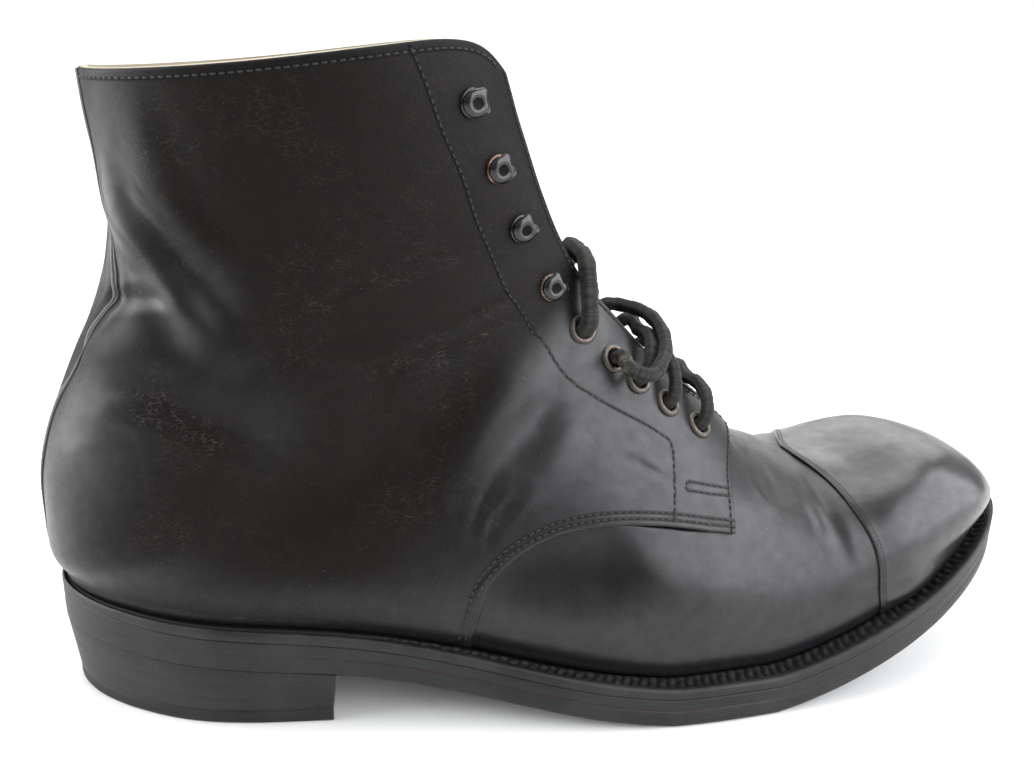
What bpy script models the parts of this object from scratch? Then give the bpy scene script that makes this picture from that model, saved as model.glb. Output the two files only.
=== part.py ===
"""Black leather derby ankle boot with a straight toe cap, for the right foot.

The boot is worked out in the frame of its last: x runs from the back of the heel to the toe, y to the inner
(medial) side, z up from the floor, all in millimetres. The finished pieces are in metres, and the origin
is under the middle of the boot.
"""

import math

import bmesh
import bpy
import numpy as np
from mathutils import Matrix, Vector

MM = 0.001
GAP = 0.3  # clearance where two pieces meet
LAYER_GAP = 0.4  # and between the curved layers of the sole
STATIONS = 46  # steps from heel to toe along a layer

# Driving sizes of the sole
LENGTH = 302.5  # outsole, heel back to toe tip
OUTSOLE = 5.2  # thickness of each layer
MIDSOLE = 3.3
WELT = 3.0
TOP_LIFT = 4.5
BREAST = 81.0  # distance of the heel's front face from the heel back
BREAST_HOLLOW = 4.0  # how far that face curves in
SEAT_TAPER = 2.2  # how far the heel narrows down to the floor

# Driving sizes of the upper
VAMP_WALL = 2.4
QUARTER_WALL = 2.6
QUARTER_STEP = 1.4  # the quarters lie this far proud of the vamp
FACING_LIFT = 3.5  # the free corner of each facing stands off the vamp
CAP_WALL = 1.3
SKIRT = 3.0  # straight band of the upper above the welt

# Outline of the sole: share of the length, then offsets of the outer and inner edge from the long axis
OUTLINE_COLUMNS = ("station", "lateral", "medial")
OUTLINE = [
    (0.000, 0.0, 0.0),
    (0.035, 20.5, 21.0),
    (0.080, 30.0, 28.5),
    (0.140, 37.5, 31.0),
    (0.220, 41.0, 29.5),
    (0.300, 42.8, 25.0),
    (0.400, 47.5, 22.5),
    (0.500, 53.5, 27.5),
    (0.600, 55.5, 38.0),
    (0.700, 53.0, 46.0),
    (0.800, 48.0, 47.5),
    (0.880, 39.8, 41.5),
    (0.940, 28.5, 30.5),
    (0.980, 16.0, 18.0),
    (1.000, 0.0, 0.0),
]

# Side view of the sole's underside, and how far the welt shows outside the upper there
PROFILE_COLUMNS = ("x", "underside", "reveal")
PROFILE = [
    (0.0, 22.8, 2.2),
    (40.0, 20.2, 3.6),
    (81.0, 16.8, 4.2),
    (120.0, 10.0, 5.4),
    (155.0, 3.0, 7.0),
    (182.0, -0.4, 8.0),
    (206.0, -0.4, 8.4),
    (232.0, 5.4, 8.4),
    (260.0, 15.4, 8.4),
    (284.0, 25.4, 8.2),
    (302.5, 33.5, 7.6),
]

# Sections of the last from the toe to the collar. Each lies in a plane across the foot, from a point on the
# feather line or the back seam up to the ridge. "lateral" and "medial" are the widest half widths beside the
# centre line, at the share "widest" of the way up, and the two powers round the wall below and above it.
SECTION_COLUMNS = ("bottom_x", "lift", "ridge_x", "ridge_y", "ridge_z",
                   "lateral", "medial", "widest", "low_power", "high_power")
SECTIONS = [
    (295.0, 0.0, 295.0, 0.0, 46.0, 0.0, 0.0, 0.45, 2.2, 2.2),
    (294.0, 0.0, 297.0, 0.0, 49.0, 8.5, 8.5, 0.45, 2.2, 2.2),
    (291.0, 0.0, 294.6, 0.5, 53.5, 16.0, 16.0, 0.42, 2.2, 2.3),
    (284.5, 0.0, 288.5, 1.0, 59.0, 23.0, 23.0, 0.40, 2.2, 2.4),
    (275.0, 0.0, 278.5, 1.5, 64.4, 29.5, 29.5, 0.36, 2.2, 2.4),
    (261.0, 0.0, 263.5, 2.5, 67.0, 35.5, 35.5, 0.32, 2.2, 2.4),
    (245.0, 0.0, 247.0, 3.0, 63.5, 40.0, 40.0, 0.30, 2.2, 2.3),
    (228.0, 0.0, 229.5, 3.5, 61.5, 42.5, 42.0, 0.28, 2.2, 2.2),
    (208.0, 0.0, 211.0, 3.5, 65.5, 43.5, 43.0, 0.28, 2.2, 2.1),
    (185.0, 0.0, 197.5, 3.0, 75.5, 43.0, 43.0, 0.28, 2.2, 2.0),
    (155.0, 0.0, 187.0, 2.0, 86.5, 39.5, 41.0, 0.30, 2.3, 2.0),
    (120.0, 0.0, 179.0, 1.0, 96.5, 36.0, 37.5, 0.31, 2.4, 2.0),
    (82.0, 0.0, 172.0, 0.0, 105.0, 34.3, 34.8, 0.31, 2.5, 2.0),
    (45.0, 0.0, 166.8, -1.0, 111.8, 33.6, 33.4, 0.32, 2.6, 2.0),
    (20.0, 0.0, 162.6, -1.0, 117.2, 33.0, 32.6, 0.33, 2.6, 2.0),
    (2.3, 0.0, 158.8, -1.5, 122.2, 32.4, 32.0, 0.34, 2.6, 2.0),
    (0.4, 15.0, 155.3, -1.5, 127.4, 31.9, 31.5, 0.35, 2.6, 2.0),
    (0.8, 31.0, 152.2, -2.0, 132.8, 31.4, 31.2, 0.37, 2.5, 2.0),
    (4.8, 47.0, 149.0, -2.0, 139.0, 31.0, 31.2, 0.39, 2.4, 2.0),
    (11.5, 63.0, 145.8, -2.5, 145.8, 30.8, 31.4, 0.42, 2.3, 2.0),
    (18.8, 79.0, 142.6, -3.0, 153.0, 31.0, 32.0, 0.44, 2.2, 2.0),
    (24.0, 95.0, 139.5, -3.0, 160.7, 31.7, 32.8, 0.46, 2.2, 2.0),
    (25.0, 112.0, 135.8, -3.5, 170.0, 33.0, 34.0, 0.47, 2.2, 2.0),
    (22.8, 128.0, 132.3, -4.0, 180.0, 34.5, 35.0, 0.48, 2.1, 2.0),
    (21.5, 144.0, 128.0, -4.0, 190.0, 36.0, 36.0, 0.48, 2.0, 2.0),
]
HEEL_ROW = 15.0  # the section that starts at the back of the heel
COLLAR_ROW = len(SECTIONS) - 1.0

# Front edge of the quarters, from the facing's edge (1) round to the feather line (2), and the topline
EDGE_COLUMNS = ("around", "section")
EDGE = [
    (1.00, 8.62),
    (1.11, 8.68),
    (1.28, 8.80),
    (1.51, 8.80),
    (1.54, 10.45),
    (1.58, 10.92),
    (1.62, 11.14),
    (1.66, 11.25),
    (1.72, 11.32),
    (1.78, 11.32),
    (1.85, 11.24),
    (2.00, 11.03),
]
TOPLINE = [
    (1.00, 23.00),
    (1.03, 23.45),
    (1.06, 23.70),
    (1.10, 23.84),
    (1.22, 23.89),
    (1.50, 23.78),
    (2.00, 23.87),
]
# Rear edge of the toe cap, from the ridge (0) past the facing's line (1) to the feather line (2)
CAP_EDGE = [
    (0.00, 7.06),
    (1.00, 6.97),
    (1.10, 6.91),
    (1.25, 6.71),
    (1.41, 6.53),
    (1.55, 6.36),
    (1.67, 6.22),
    (1.78, 6.15),
    (2.00, 6.00),
]
FACING_HALF_GAP = (6.5, 13.5)  # half the throat's opening at its base and at the collar

# Eyelets up each facing, then hooks: the section each sits at and how far back from the facing's edge. The lace
# climbs by some part of a section from an eyelet to the edge.
EYELET_COLUMNS = ("section", "setback", "climb")
EYELETS = [
    (9.64, 13.5, 0.2),
    (10.52, 13.5, 0.5),
    (11.41, 13.3, 0.4),
    (12.25, 12.6, 0.0),
    (13.72, 12.5, 2.6),
]
HOOK_COLUMNS = ("section", "setback")
HOOKS = [
    (16.09, 11.5),
    (18.72, 12.0),
    (20.81, 13.5),
    (22.49, 16.0),
]
EYELET_RADIUS = 4.3  # outer rim, hole and the hole punched in the leather
EYELET_BORE = 2.5
EYELET_PUNCH = 3.3
EYELET_HEIGHT = 1.4
EYELET_SEAT = 0.5  # clearance under the rim, where the leather curves
HOOK_SIZE = 8.4  # diameter of the foot and the lip
HOOK_RISE = 4.6
HOOK_SHEET = 0.9
LACE_RADIUS = 2.0
LACE_SAG = 1.5  # how far a bar sags between the facings
LOOP_LIFT = 1.2  # the loop comes down this far above the inner facing
TONGUE_DEPTH = 3.2  # how far the tongue lies below the last's surface
TONGUE_WALL = 2.0
INSOLE = 3.0
INSOLE_SEAT = 0.5  # clearance over the curved welt

# Lines of the nets: over the open middle, down each side, and across half of the tongue
CENTRE = [0.0, 0.5]
SIDE = [1.0, 1.03, 1.09, 1.18, 1.28, 1.40, 1.51, 1.54, 1.60, 1.70, 1.80, 1.91, 2.0]
TONGUE_COLUMNS = [0.0, 1.0, 1.08, 1.15]
STEP_SHIFT = 0.25  # the step inside follows the step outside by this part of a section
SAMPLES = 96  # steps along a half section when its arc is measured

# Slack loop of the lace at the fourth pair, measured from the mouth of the outer eyelet
LOOP_COLUMNS = ("forward", "inward", "up")
LOOP = [
    (2.6, -5.6, -3.2),
    (6.8, -6.2, -4.0),
    (10.8, -2.6, -2.2),
    (13.8, 3.4, 0.8),
    (14.4, 10.0, 4.2),
    (12.8, 16.0, 7.0),
    (9.8, 22.0, 8.0),
    (6.6, 28.5, 7.6),
]

# The boot's middle, so that the assembly stands with its origin under the centre of its box
ORIGIN = (150.62, -3.81, 0.0)


def natural_spline(knots, values):
    """A function that runs smoothly through the values at the knots, straight at both ends."""
    x, y = np.asarray(knots, float), np.asarray(values, float)
    h, n = np.diff(x), len(x)
    matrix, right = np.eye(n), np.zeros(n)
    for i in range(1, n - 1):
        matrix[i, i - 1:i + 2] = h[i - 1], 2 * (h[i - 1] + h[i]), h[i]
        right[i] = 6 * ((y[i + 1] - y[i]) / h[i] - (y[i] - y[i - 1]) / h[i - 1])
    bend = np.linalg.solve(matrix, right)

    def value(at):
        at = np.clip(np.asarray(at, float), x[0], x[-1])
        i = np.clip(np.searchsorted(x, at, side="right") - 1, 0, n - 2)
        left, rest = at - x[i], x[i + 1] - at
        return ((bend[i] * rest ** 3 + bend[i + 1] * left ** 3) / (6 * h[i])
                + (y[i] / h[i] - bend[i] * h[i] / 6) * rest
                + (y[i + 1] / h[i] - bend[i + 1] * h[i] / 6) * left)
    return value


def column(rows, columns, name):
    """One named column of a table."""
    return np.array([row[columns.index(name)] for row in rows], float)


def named(rows, columns):
    """Rows of a table with their columns' names."""
    return [dict(zip(columns, row)) for row in rows]


def ease(low, high, at):
    """Rises smoothly from 0 at low to 1 at high."""
    share = np.clip((np.asarray(at, float) - low) / (high - low), 0.0, 1.0)
    return share * share * (3.0 - 2.0 * share)


# The sole's outline runs on the angle of a half turn, so that heel and toe come out round
outline_turn = np.arccos(1.0 - 2.0 * column(OUTLINE, OUTLINE_COLUMNS, "station"))
lateral_edge = natural_spline(outline_turn, column(OUTLINE, OUTLINE_COLUMNS, "lateral"))
medial_edge = natural_spline(outline_turn, column(OUTLINE, OUTLINE_COLUMNS, "medial"))
profile_x = column(PROFILE, PROFILE_COLUMNS, "x")
underside_curve = natural_spline(profile_x, column(PROFILE, PROFILE_COLUMNS, "underside"))
reveal = natural_spline(profile_x, column(PROFILE, PROFILE_COLUMNS, "reveal"))


def underside(x):
    """Height of the sole's underside, flat where the forefoot rests on the floor."""
    return np.maximum(underside_curve(x), 0.0)


def welt_top(x):
    return underside(x) + OUTSOLE + MIDSOLE + WELT + 2 * LAYER_GAP


def outline_loop(count, inset=None):
    """Closed loop of the sole's edge from heel to toe on the outer side and back on the inner, moved in."""
    turn = np.linspace(0.0, math.pi, count + 1)
    x = LENGTH * (1.0 - np.cos(turn)) / 2.0
    loop = np.concatenate([
        np.stack([x, -lateral_edge(turn)], 1),
        np.stack([x, medial_edge(turn)], 1)[-2:0:-1],
    ])
    if inset is None:
        return loop
    along = np.roll(loop, -1, 0) - np.roll(loop, 1, 0)
    normal = np.stack([-along[:, 1], along[:, 0]], 1) / np.linalg.norm(along, axis=1)[:, None]
    return loop + normal * np.broadcast_to(inset(loop[:, 0]), len(loop))[:, None]


feather_loop = outline_loop(200, reveal)
feather_side = len(feather_loop) // 2
feather_outer = feather_loop[:feather_side + 1]
feather_inner = np.concatenate([feather_loop[feather_side:], feather_loop[:1]])[::-1]


def feather(x):
    """Centre and half width of the feather line at x, where the upper meets the welt."""
    outer = np.interp(x, feather_outer[:, 0], feather_outer[:, 1])
    inner = np.interp(x, feather_inner[:, 0], feather_inner[:, 1])
    return (outer + inner) / 2.0, np.maximum((inner - outer) / 2.0, 0.0)


section_splines = {
    name: natural_spline(np.arange(len(SECTIONS)), column(SECTIONS, SECTION_COLUMNS, name))
    for name in SECTION_COLUMNS
}


def edge_at(rows, around):
    """Section at which an edge of a piece runs, by the table of that edge."""
    return np.interp(around, column(rows, EDGE_COLUMNS, "around"), column(rows, EDGE_COLUMNS, "section"))


def half_sections(row, side):
    """Dense half sections, ridge to bottom, at the given rows: points (row, sample, xyz) and arc lengths."""
    row = np.atleast_1d(np.asarray(row, float))
    at = {name: spline(row)[:, None] for name, spline in section_splines.items()}
    lift = np.where(row > HEEL_ROW, np.maximum(at["lift"][:, 0], 0.0), 0.0)[:, None]
    bottom_x = at["bottom_x"]
    bottom_z = welt_top(bottom_x) + GAP + SKIRT + lift
    bottom_y, foot_width = feather(bottom_x)
    foot_width = np.where(row[:, None] >= HEEL_ROW, 0.0, foot_width)
    ridge_z = np.where(row[:, None] < 1.0, bottom_z + (at["ridge_z"] - bottom_z) * row[:, None], at["ridge_z"])
    widest = np.clip(at["widest"], 0.05, 0.9)
    width = np.maximum(at["lateral"] if side < 0 else at["medial"], foot_width + 1e-3)
    angle = np.linspace(0.0, math.pi, SAMPLES)[None, :]
    upper = np.clip(angle, 0.0, math.pi / 2)
    lower = np.clip(angle - math.pi / 2, 0.0, math.pi / 2)
    power = 2.0 / at["high_power"]
    drop = np.sin(lower)
    keep = 1.0 - (foot_width / width) ** at["low_power"]
    climb_up = widest + (1.0 - widest) * np.cos(upper) ** power
    out_up = np.sin(upper) ** power
    out_low = np.maximum(1.0 - keep * drop ** at["low_power"], 0.0) ** (1.0 / at["low_power"])
    is_low = angle > math.pi / 2
    climb = np.where(is_low, widest * (1.0 - drop), climb_up)
    out = width * np.where(is_low, out_low, out_up)
    centre = bottom_y + (at["ridge_y"] - bottom_y) * climb
    points = np.stack([
        bottom_x + (at["ridge_x"] - bottom_x) * climb,
        centre + side * out,
        bottom_z + (ridge_z - bottom_z) * climb,
    ], -1)
    steps = np.linalg.norm(np.diff(points, axis=1), axis=2)
    arc = np.concatenate([np.zeros((len(row), 1)), np.cumsum(steps, 1)], 1)
    return points, arc


def facing_gap(row):
    share = np.clip((np.asarray(row, float) - EDGE[0][1]) / (COLLAR_ROW - EDGE[0][1]), 0.0, 1.0)
    return FACING_HALF_GAP[0] + (FACING_HALF_GAP[1] - FACING_HALF_GAP[0]) * share


def last_point(row, around, side):
    """Points of the last. around is 0 at the ridge, 1 at the facing's edge and 2 at the feather line."""
    row, around = np.broadcast_arrays(np.asarray(row, float), np.asarray(around, float))
    points, arc = half_sections(row.ravel(), side)
    total = arc[:, -1]
    edge = np.minimum(facing_gap(row.ravel()), total * 0.4)
    at = around.ravel()
    want = np.where(at <= 1.0, edge * at, edge + (total - edge) * (at - 1.0))
    index = np.clip((arc <= want[:, None]).sum(1) - 1, 0, SAMPLES - 2)
    pick = np.arange(len(index))
    span = np.maximum(arc[pick, index + 1] - arc[pick, index], 1e-9)
    share = ((want - arc[pick, index]) / span)[:, None]
    found = points[pick, index] * (1 - share) + points[pick, index + 1] * share
    return found.reshape(row.shape + (3,))


def last_normal(row, around, side):
    """Outward unit normals of the last."""
    step_row, step_around = 0.02, 0.01
    row = np.asarray(row, float)
    around = np.asarray(around, float)
    ahead = last_point(np.minimum(row + step_row, COLLAR_ROW), around, side)
    behind = last_point(np.maximum(row - step_row, 0.01), around, side)
    down = last_point(row, np.minimum(around + step_around, 2.0), side)
    up = last_point(row, np.maximum(around - step_around, 0.0), side)
    normal = np.cross(down - up, ahead - behind) * side
    return normal / np.maximum(np.linalg.norm(normal, axis=-1, keepdims=True), 1e-12)


def skin_points(row, around, side, offset):
    """Points at a height above the last. Both halves share the back seam, and the toe ends in one point."""
    row, around = np.broadcast_arrays(np.asarray(row, float), np.asarray(around, float))
    offset = np.broadcast_to(np.asarray(offset, float), row.shape)
    normal = last_normal(np.maximum(row, 0.3), around, side)
    normal = np.where((row < 1e-6)[..., None], np.array([1.0, 0.0, 0.0]), normal)
    ridge = around < 1e-6
    if ridge.any():
        both = normal[ridge] + last_normal(np.maximum(row[ridge], 0.3), around[ridge], -side)
        normal[ridge] = both / np.linalg.norm(both, axis=-1, keepdims=True)
    points = last_point(row, around, side) + normal * offset[..., None]
    if side > 0:
        seam = (around > 1.999) & (row >= HEEL_ROW - 1e-6)
        if seam.any():
            points[seam] = skin_points(row[seam], around[seam], -1, offset[seam])
    return points


def facing_lift(row, around):
    """Height of the quarters above the last: one step, and more at the loose corner of each facing."""
    corner = np.exp(-((row - 9.0) / 1.1) ** 2) * (1.0 - ease(1.0, 1.32, around))
    return QUARTER_STEP + FACING_LIFT * corner


def link(obj, collection):
    for other in list(obj.users_collection):
        other.objects.unlink(obj)
    collection.objects.link(obj)
    return obj


def material(name, colour, roughness, metallic=0.0):
    made = bpy.data.materials.new(name)
    made.use_nodes = True
    shader = made.node_tree.nodes["Principled BSDF"]
    shader.inputs["Base Color"].default_value = (*colour, 1.0)
    shader.inputs["Roughness"].default_value = roughness
    shader.inputs["Metallic"].default_value = metallic
    return made


def new_object(name, bm, look=None):
    """A mesh object in metres from a bmesh in millimetres of the last's frame."""
    bmesh.ops.scale(bm, vec=(MM, MM, MM), verts=bm.verts)
    bmesh.ops.translate(bm, vec=-Vector(ORIGIN) * MM, verts=bm.verts)
    mesh = bpy.data.meshes.new(name)
    bm.to_mesh(mesh)
    bm.free()
    obj = bpy.data.objects.new(name, mesh)
    link(obj, PIECES)
    if look:
        mesh.materials.append(look)
    return obj


def helper(obj):
    """Keeps a cutter or a joined half out of the finished assembly."""
    link(obj, HELPERS)
    obj.hide_render = True
    obj.display_type = "WIRE"
    return obj


def boolean(obj, other, operation):
    step = obj.modifiers.new(operation.title(), "BOOLEAN")
    step.operation = operation
    step.solver = "EXACT"
    step.object = other


def skirt_line(points):
    """The lower end of the straight band, just above the welt."""
    low = points.copy()
    low[..., 2] = welt_top(low[..., 0]) + GAP
    return low


def band_rows(edges, counts, arounds):
    """Rows of a net in bands between edges that run round the last."""
    lines = [edge(arounds) for edge in edges]
    rows = [lines[0][None]]
    for first, last, count in zip(lines, lines[1:], counts):
        rows.append(first + (last - first) * np.linspace(0.0, 1.0, count + 1)[1:, None])
    return np.concatenate(rows)


class Shell:
    """A wall between two nets of points with the same triangles, closed all round its edges."""

    def __init__(self):
        self.outer, self.inner, self.faces = [], [], []

    def add(self, outer, inner, side):
        """Adds a net, split alike on every piece so that laid pieces stay parallel."""
        count, width = outer.shape[:2]
        base = len(self.outer)
        self.outer += list(outer.reshape(-1, 3))
        self.inner += list(inner.reshape(-1, 3))
        for r in range(count - 1):
            for c in range(width - 1):
                a = base + r * width + c
                b = a + width
                for face in ((a, b, b + 1), (a, b + 1, a + 1)):
                    self.faces.append(face[::-1] if side > 0 else face)

    def add_skirt(self, outer, inner, side):
        """Adds the straight band below a line of points on the feather line."""
        self.add(np.stack([outer, skirt_line(outer)], 1), np.stack([inner, skirt_line(inner)], 1), side)

    def build(self, name, look):
        bm = bmesh.new()
        outer = [bm.verts.new(p) for p in self.outer]
        bm.verts.index_update()
        same = bmesh.ops.find_doubles(bm, verts=outer, dist=0.02)["targetmap"]
        merged = {vert.index: target.index for vert, target in same.items()}
        inner = [bm.verts.new(p) for p in self.inner]
        edges = {}
        for face in self.faces:
            face = [merged.get(i, i) for i in face]
            if len(set(face)) < 3:
                continue
            bm.faces.new([outer[i] for i in face])
            bm.faces.new([inner[i] for i in reversed(face)])
            for a, b in zip(face, face[1:] + face[:1]):
                edges[a, b] = True
        for a, b in edges:
            if (b, a) not in edges:
                bm.faces.new((outer[b], outer[a], inner[a]))
                bm.faces.new((outer[b], inner[a], inner[b]))
        loose = [vert for vert in bm.verts if not vert.link_faces]
        bmesh.ops.delete(bm, geom=loose, context="VERTS")
        bmesh.ops.recalc_face_normals(bm, faces=bm.faces)
        return new_object(name, bm, look)


def sole_slab(name, rows, look):
    """A layer of the sole. Each row gives how far its edge lies inside the outline and its height above the
    sole's underside; both faces are ruled straight across."""
    count = STATIONS
    loops = []
    for inset, height in rows:
        loop = outline_loop(count, lambda x, inset=inset: np.full(len(x), inset))
        loops.append(np.column_stack([loop, underside(loop[:, 0]) + height]))
    bm = bmesh.new()
    rings = [[bm.verts.new(p) for p in loop] for loop in loops]
    size = len(rings[0])
    for low, high in zip(rings, rings[1:]):
        for i in range(size):
            j = (i + 1) % size
            bm.faces.new((low[i], high[i], high[j], low[j]))
    for ring, top in ((rings[0], False), (rings[-1], True)):
        for i in range(count):
            corners = [ring[i], ring[i + 1], ring[-i - 1], ring[-i]]
            corners = list(dict.fromkeys(corners))
            bm.faces.new(corners[::-1] if top else corners)
    bmesh.ops.recalc_face_normals(bm, faces=bm.faces)
    return new_object(name, bm, look)


def sole_ring(name, rows, look):
    """The welt: a closed strip whose section is the loop of the rows, each an inset and a height."""
    loops = []
    for inset, height in rows:
        loop = outline_loop(STATIONS, inset)
        loops.append(np.column_stack([loop, underside(loop[:, 0]) + height]))
    bm = bmesh.new()
    rings = [[bm.verts.new(p) for p in loop] for loop in loops]
    size = len(rings[0])
    for k, low in enumerate(rings):
        high = rings[(k + 1) % len(rings)]
        for i in range(size):
            j = (i + 1) % size
            bm.faces.new((low[i], high[i], high[j], low[j]))
    bmesh.ops.recalc_face_normals(bm, faces=bm.faces)
    return new_object(name, bm, look)


def heel_loop(inset, front):
    """Outline of the heel, cut off by its hollow front face."""
    outer = outline_loop(60, lambda x: np.full(len(x), inset))
    half = len(outer) // 2
    lateral = outer[:half][outer[:half, 0] < front - 3.0]
    medial = np.concatenate([outer[half:], outer[:1]])
    medial = medial[medial[:, 0] < front - 3.0]
    across = np.linspace(0.0, 1.0, 9)
    y_lateral = np.interp(front, outer[:half, 0], outer[:half, 1])
    y_medial = np.interp(front, outer[half:][::-1, 0], outer[half:][::-1, 1])
    face = np.stack([
        front - BREAST_HOLLOW * np.sin(math.pi * across),
        y_lateral + (y_medial - y_lateral) * across,
    ], 1)
    return np.concatenate([lateral, face, medial[:-1]])


def heel_block(name, levels, look):
    """A piece of the heel between levels, each an inset, the front's place and a height function of x."""
    bm = bmesh.new()
    rings = []
    for inset, front, height in levels:
        loop = heel_loop(inset, front)
        rings.append([bm.verts.new((x, y, float(height(x)))) for x, y in loop])
    size = min(len(ring) for ring in rings)
    for low, high in zip(rings, rings[1:]):
        for i in range(size):
            j = (i + 1) % size
            bm.faces.new((low[i], low[j], high[j], high[i]))
    bm.faces.new(rings[0][::-1])
    bm.faces.new(rings[-1])
    bmesh.ops.recalc_face_normals(bm, faces=bm.faces)
    return new_object(name, bm, look)


def seat_frame(row, setback, side, height=0.0):
    """Place on a facing: origin on its surface, x toward the throat, z out of the leather."""
    total = half_sections([row], side)[1][0, -1]
    around = 1.0 + setback / (total - float(facing_gap(row)))
    rows = row + np.array([0.0, 0.0, 0.0, 0.06, -0.06])
    arounds = around + np.array([0.0, -0.02, 0.02, 0.0, 0.0])
    origin, ahead, behind, above, below = skin_points(rows, arounds, side, facing_lift(rows, arounds))
    out = np.cross(ahead - behind, above - below)
    out = out * np.sign(np.dot(out, last_normal(rows[:1], arounds[:1], side)[0])) / np.linalg.norm(out)
    toward = ahead - behind
    toward = toward - out * np.dot(toward, out)
    toward = toward / np.linalg.norm(toward)
    along = np.cross(out, toward)
    place = Matrix.Identity(4)
    for i, axis in enumerate((toward, along, out)):
        place.col[i].xyz = axis
    place.translation = (origin + out * height - np.array(ORIGIN)) * MM
    return place


def turned(name, profile, steps):
    """A ring turned about z from a closed profile of (radius, height)."""
    mesh = bpy.data.meshes.new(name)
    count = len(profile)
    loop = [(i, (i + 1) % count) for i in range(count)]
    mesh.from_pydata([(r * MM, 0.0, z * MM) for r, z in profile], loop, [])
    obj = bpy.data.objects.new(name, mesh)
    link(obj, HELPERS)
    screw = obj.modifiers.new("Turn", "SCREW")
    screw.axis = "Z"
    screw.steps = steps
    screw.render_steps = steps
    screw.use_merge_vertices = True
    screw.merge_threshold = 1e-6
    screw.use_normal_calculate = True
    return obj


def baked(obj):
    """The mesh of an object with its modifiers worked in."""
    graph = bpy.context.evaluated_depsgraph_get()
    mesh = bpy.data.meshes.new_from_object(obj.evaluated_get(graph))
    bm = bmesh.new()
    bm.from_mesh(mesh)
    bmesh.ops.remove_doubles(bm, verts=bm.verts, dist=1e-6)
    bmesh.ops.recalc_face_normals(bm, faces=bm.faces)
    bm.to_mesh(mesh)
    bm.free()
    bpy.data.objects.remove(obj)
    return mesh


def extruded(name, outline, depth):
    """A flat outline in the xy plane, given thickness both ways along z."""
    curve = bpy.data.curves.new(name, "CURVE")
    curve.dimensions = "2D"
    curve.fill_mode = "BOTH"
    curve.extrude = depth / 2.0 * MM
    spline = curve.splines.new("POLY")
    spline.points.add(len(outline) - 1)
    for point, (x, y) in zip(spline.points, outline):
        point.co = (x * MM, y * MM, 0.0, 1.0)
    spline.use_cyclic_u = True
    obj = bpy.data.objects.new(name, curve)
    link(obj, HELPERS)
    mesh = baked(obj)
    made = bpy.data.objects.new(name, mesh)
    return helper(made)


def tube(name, points, look):
    """A round cord through the points."""
    curve = bpy.data.curves.new(name, "CURVE")
    curve.dimensions = "3D"
    curve.bevel_depth = LACE_RADIUS * MM
    curve.bevel_resolution = 2
    curve.use_fill_caps = True
    spline = curve.splines.new("POLY")
    spline.points.add(len(points) - 1)
    for point, place in zip(spline.points, points):
        point.co = (*((np.array(place) - np.array(ORIGIN)) * MM), 1.0)
    obj = bpy.data.objects.new(name, curve)
    link(obj, PIECES)
    curve.materials.append(look)
    return obj


# Clear the scene and set up its collections
for old in list(bpy.data.objects):
    bpy.data.objects.remove(old)
PIECES = bpy.data.collections.new("derby_ankle_boot")
HELPERS = bpy.data.collections.new("helpers")
bpy.context.scene.collection.children.link(PIECES)
bpy.context.scene.collection.children.link(HELPERS)

UPPER_LOOK = material("upper leather", (0.018, 0.017, 0.018), 0.35)
CAP_LOOK = material("toe cap leather", (0.020, 0.019, 0.021), 0.25)
TONGUE_LOOK = material("tongue leather", (0.022, 0.020, 0.020), 0.50)
INSOLE_LOOK = material("insole leather", (0.36, 0.24, 0.13), 0.70)
WELT_LOOK = material("welt leather", (0.025, 0.023, 0.022), 0.60)
MIDSOLE_LOOK = material("midsole leather", (0.035, 0.032, 0.030), 0.55)
OUTSOLE_LOOK = material("outsole leather", (0.040, 0.037, 0.034), 0.55)
HEEL_LOOK = material("heel leather", (0.032, 0.029, 0.027), 0.55)
LIFT_LOOK = material("top lift rubber", (0.022, 0.021, 0.020), 0.75)
EYELET_LOOK = material("eyelet brass", (0.30, 0.20, 0.12), 0.40, 0.9)
HOOK_LOOK = material("hook enamel", (0.008, 0.008, 0.009), 0.12)
LACE_LOOK = material("lace cotton", (0.014, 0.014, 0.015), 0.80)

# Sole layers from the floor up
welt_low = OUTSOLE + MIDSOLE + 2 * LAYER_GAP
mid_low = OUTSOLE + LAYER_GAP
sole_slab("outsole", [(1.2, 0.0), (0.0, 1.2), (0.0, OUTSOLE)], OUTSOLE_LOOK)
sole_slab("midsole", [(0.0, mid_low), (0.0, mid_low + MIDSOLE)], MIDSOLE_LOOK)
sole_ring("welt", [
    (lambda x: reveal(x) + VAMP_WALL + 5.0, welt_low),
    (lambda x: np.zeros(len(x)), welt_low),
    (lambda x: np.zeros(len(x)), welt_low + WELT - 0.8),
    (lambda x: np.full(len(x), 0.9), welt_low + WELT),
    (lambda x: reveal(x) + VAMP_WALL + 5.0, welt_low + WELT),
], WELT_LOOK)
heel_block("heel_stack", [
    (SEAT_TAPER, BREAST - 1.5, lambda x: TOP_LIFT + GAP),
    (0.6, BREAST, lambda x: underside(x) - GAP),
], HEEL_LOOK)
heel_block("top_lift", [
    (SEAT_TAPER + 1.2, BREAST - 1.8, lambda x: 0.0),
    (SEAT_TAPER + 0.4, BREAST - 1.5, lambda x: 0.8),
    (SEAT_TAPER, BREAST - 1.5, lambda x: TOP_LIFT),
], LIFT_LOOK)

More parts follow.
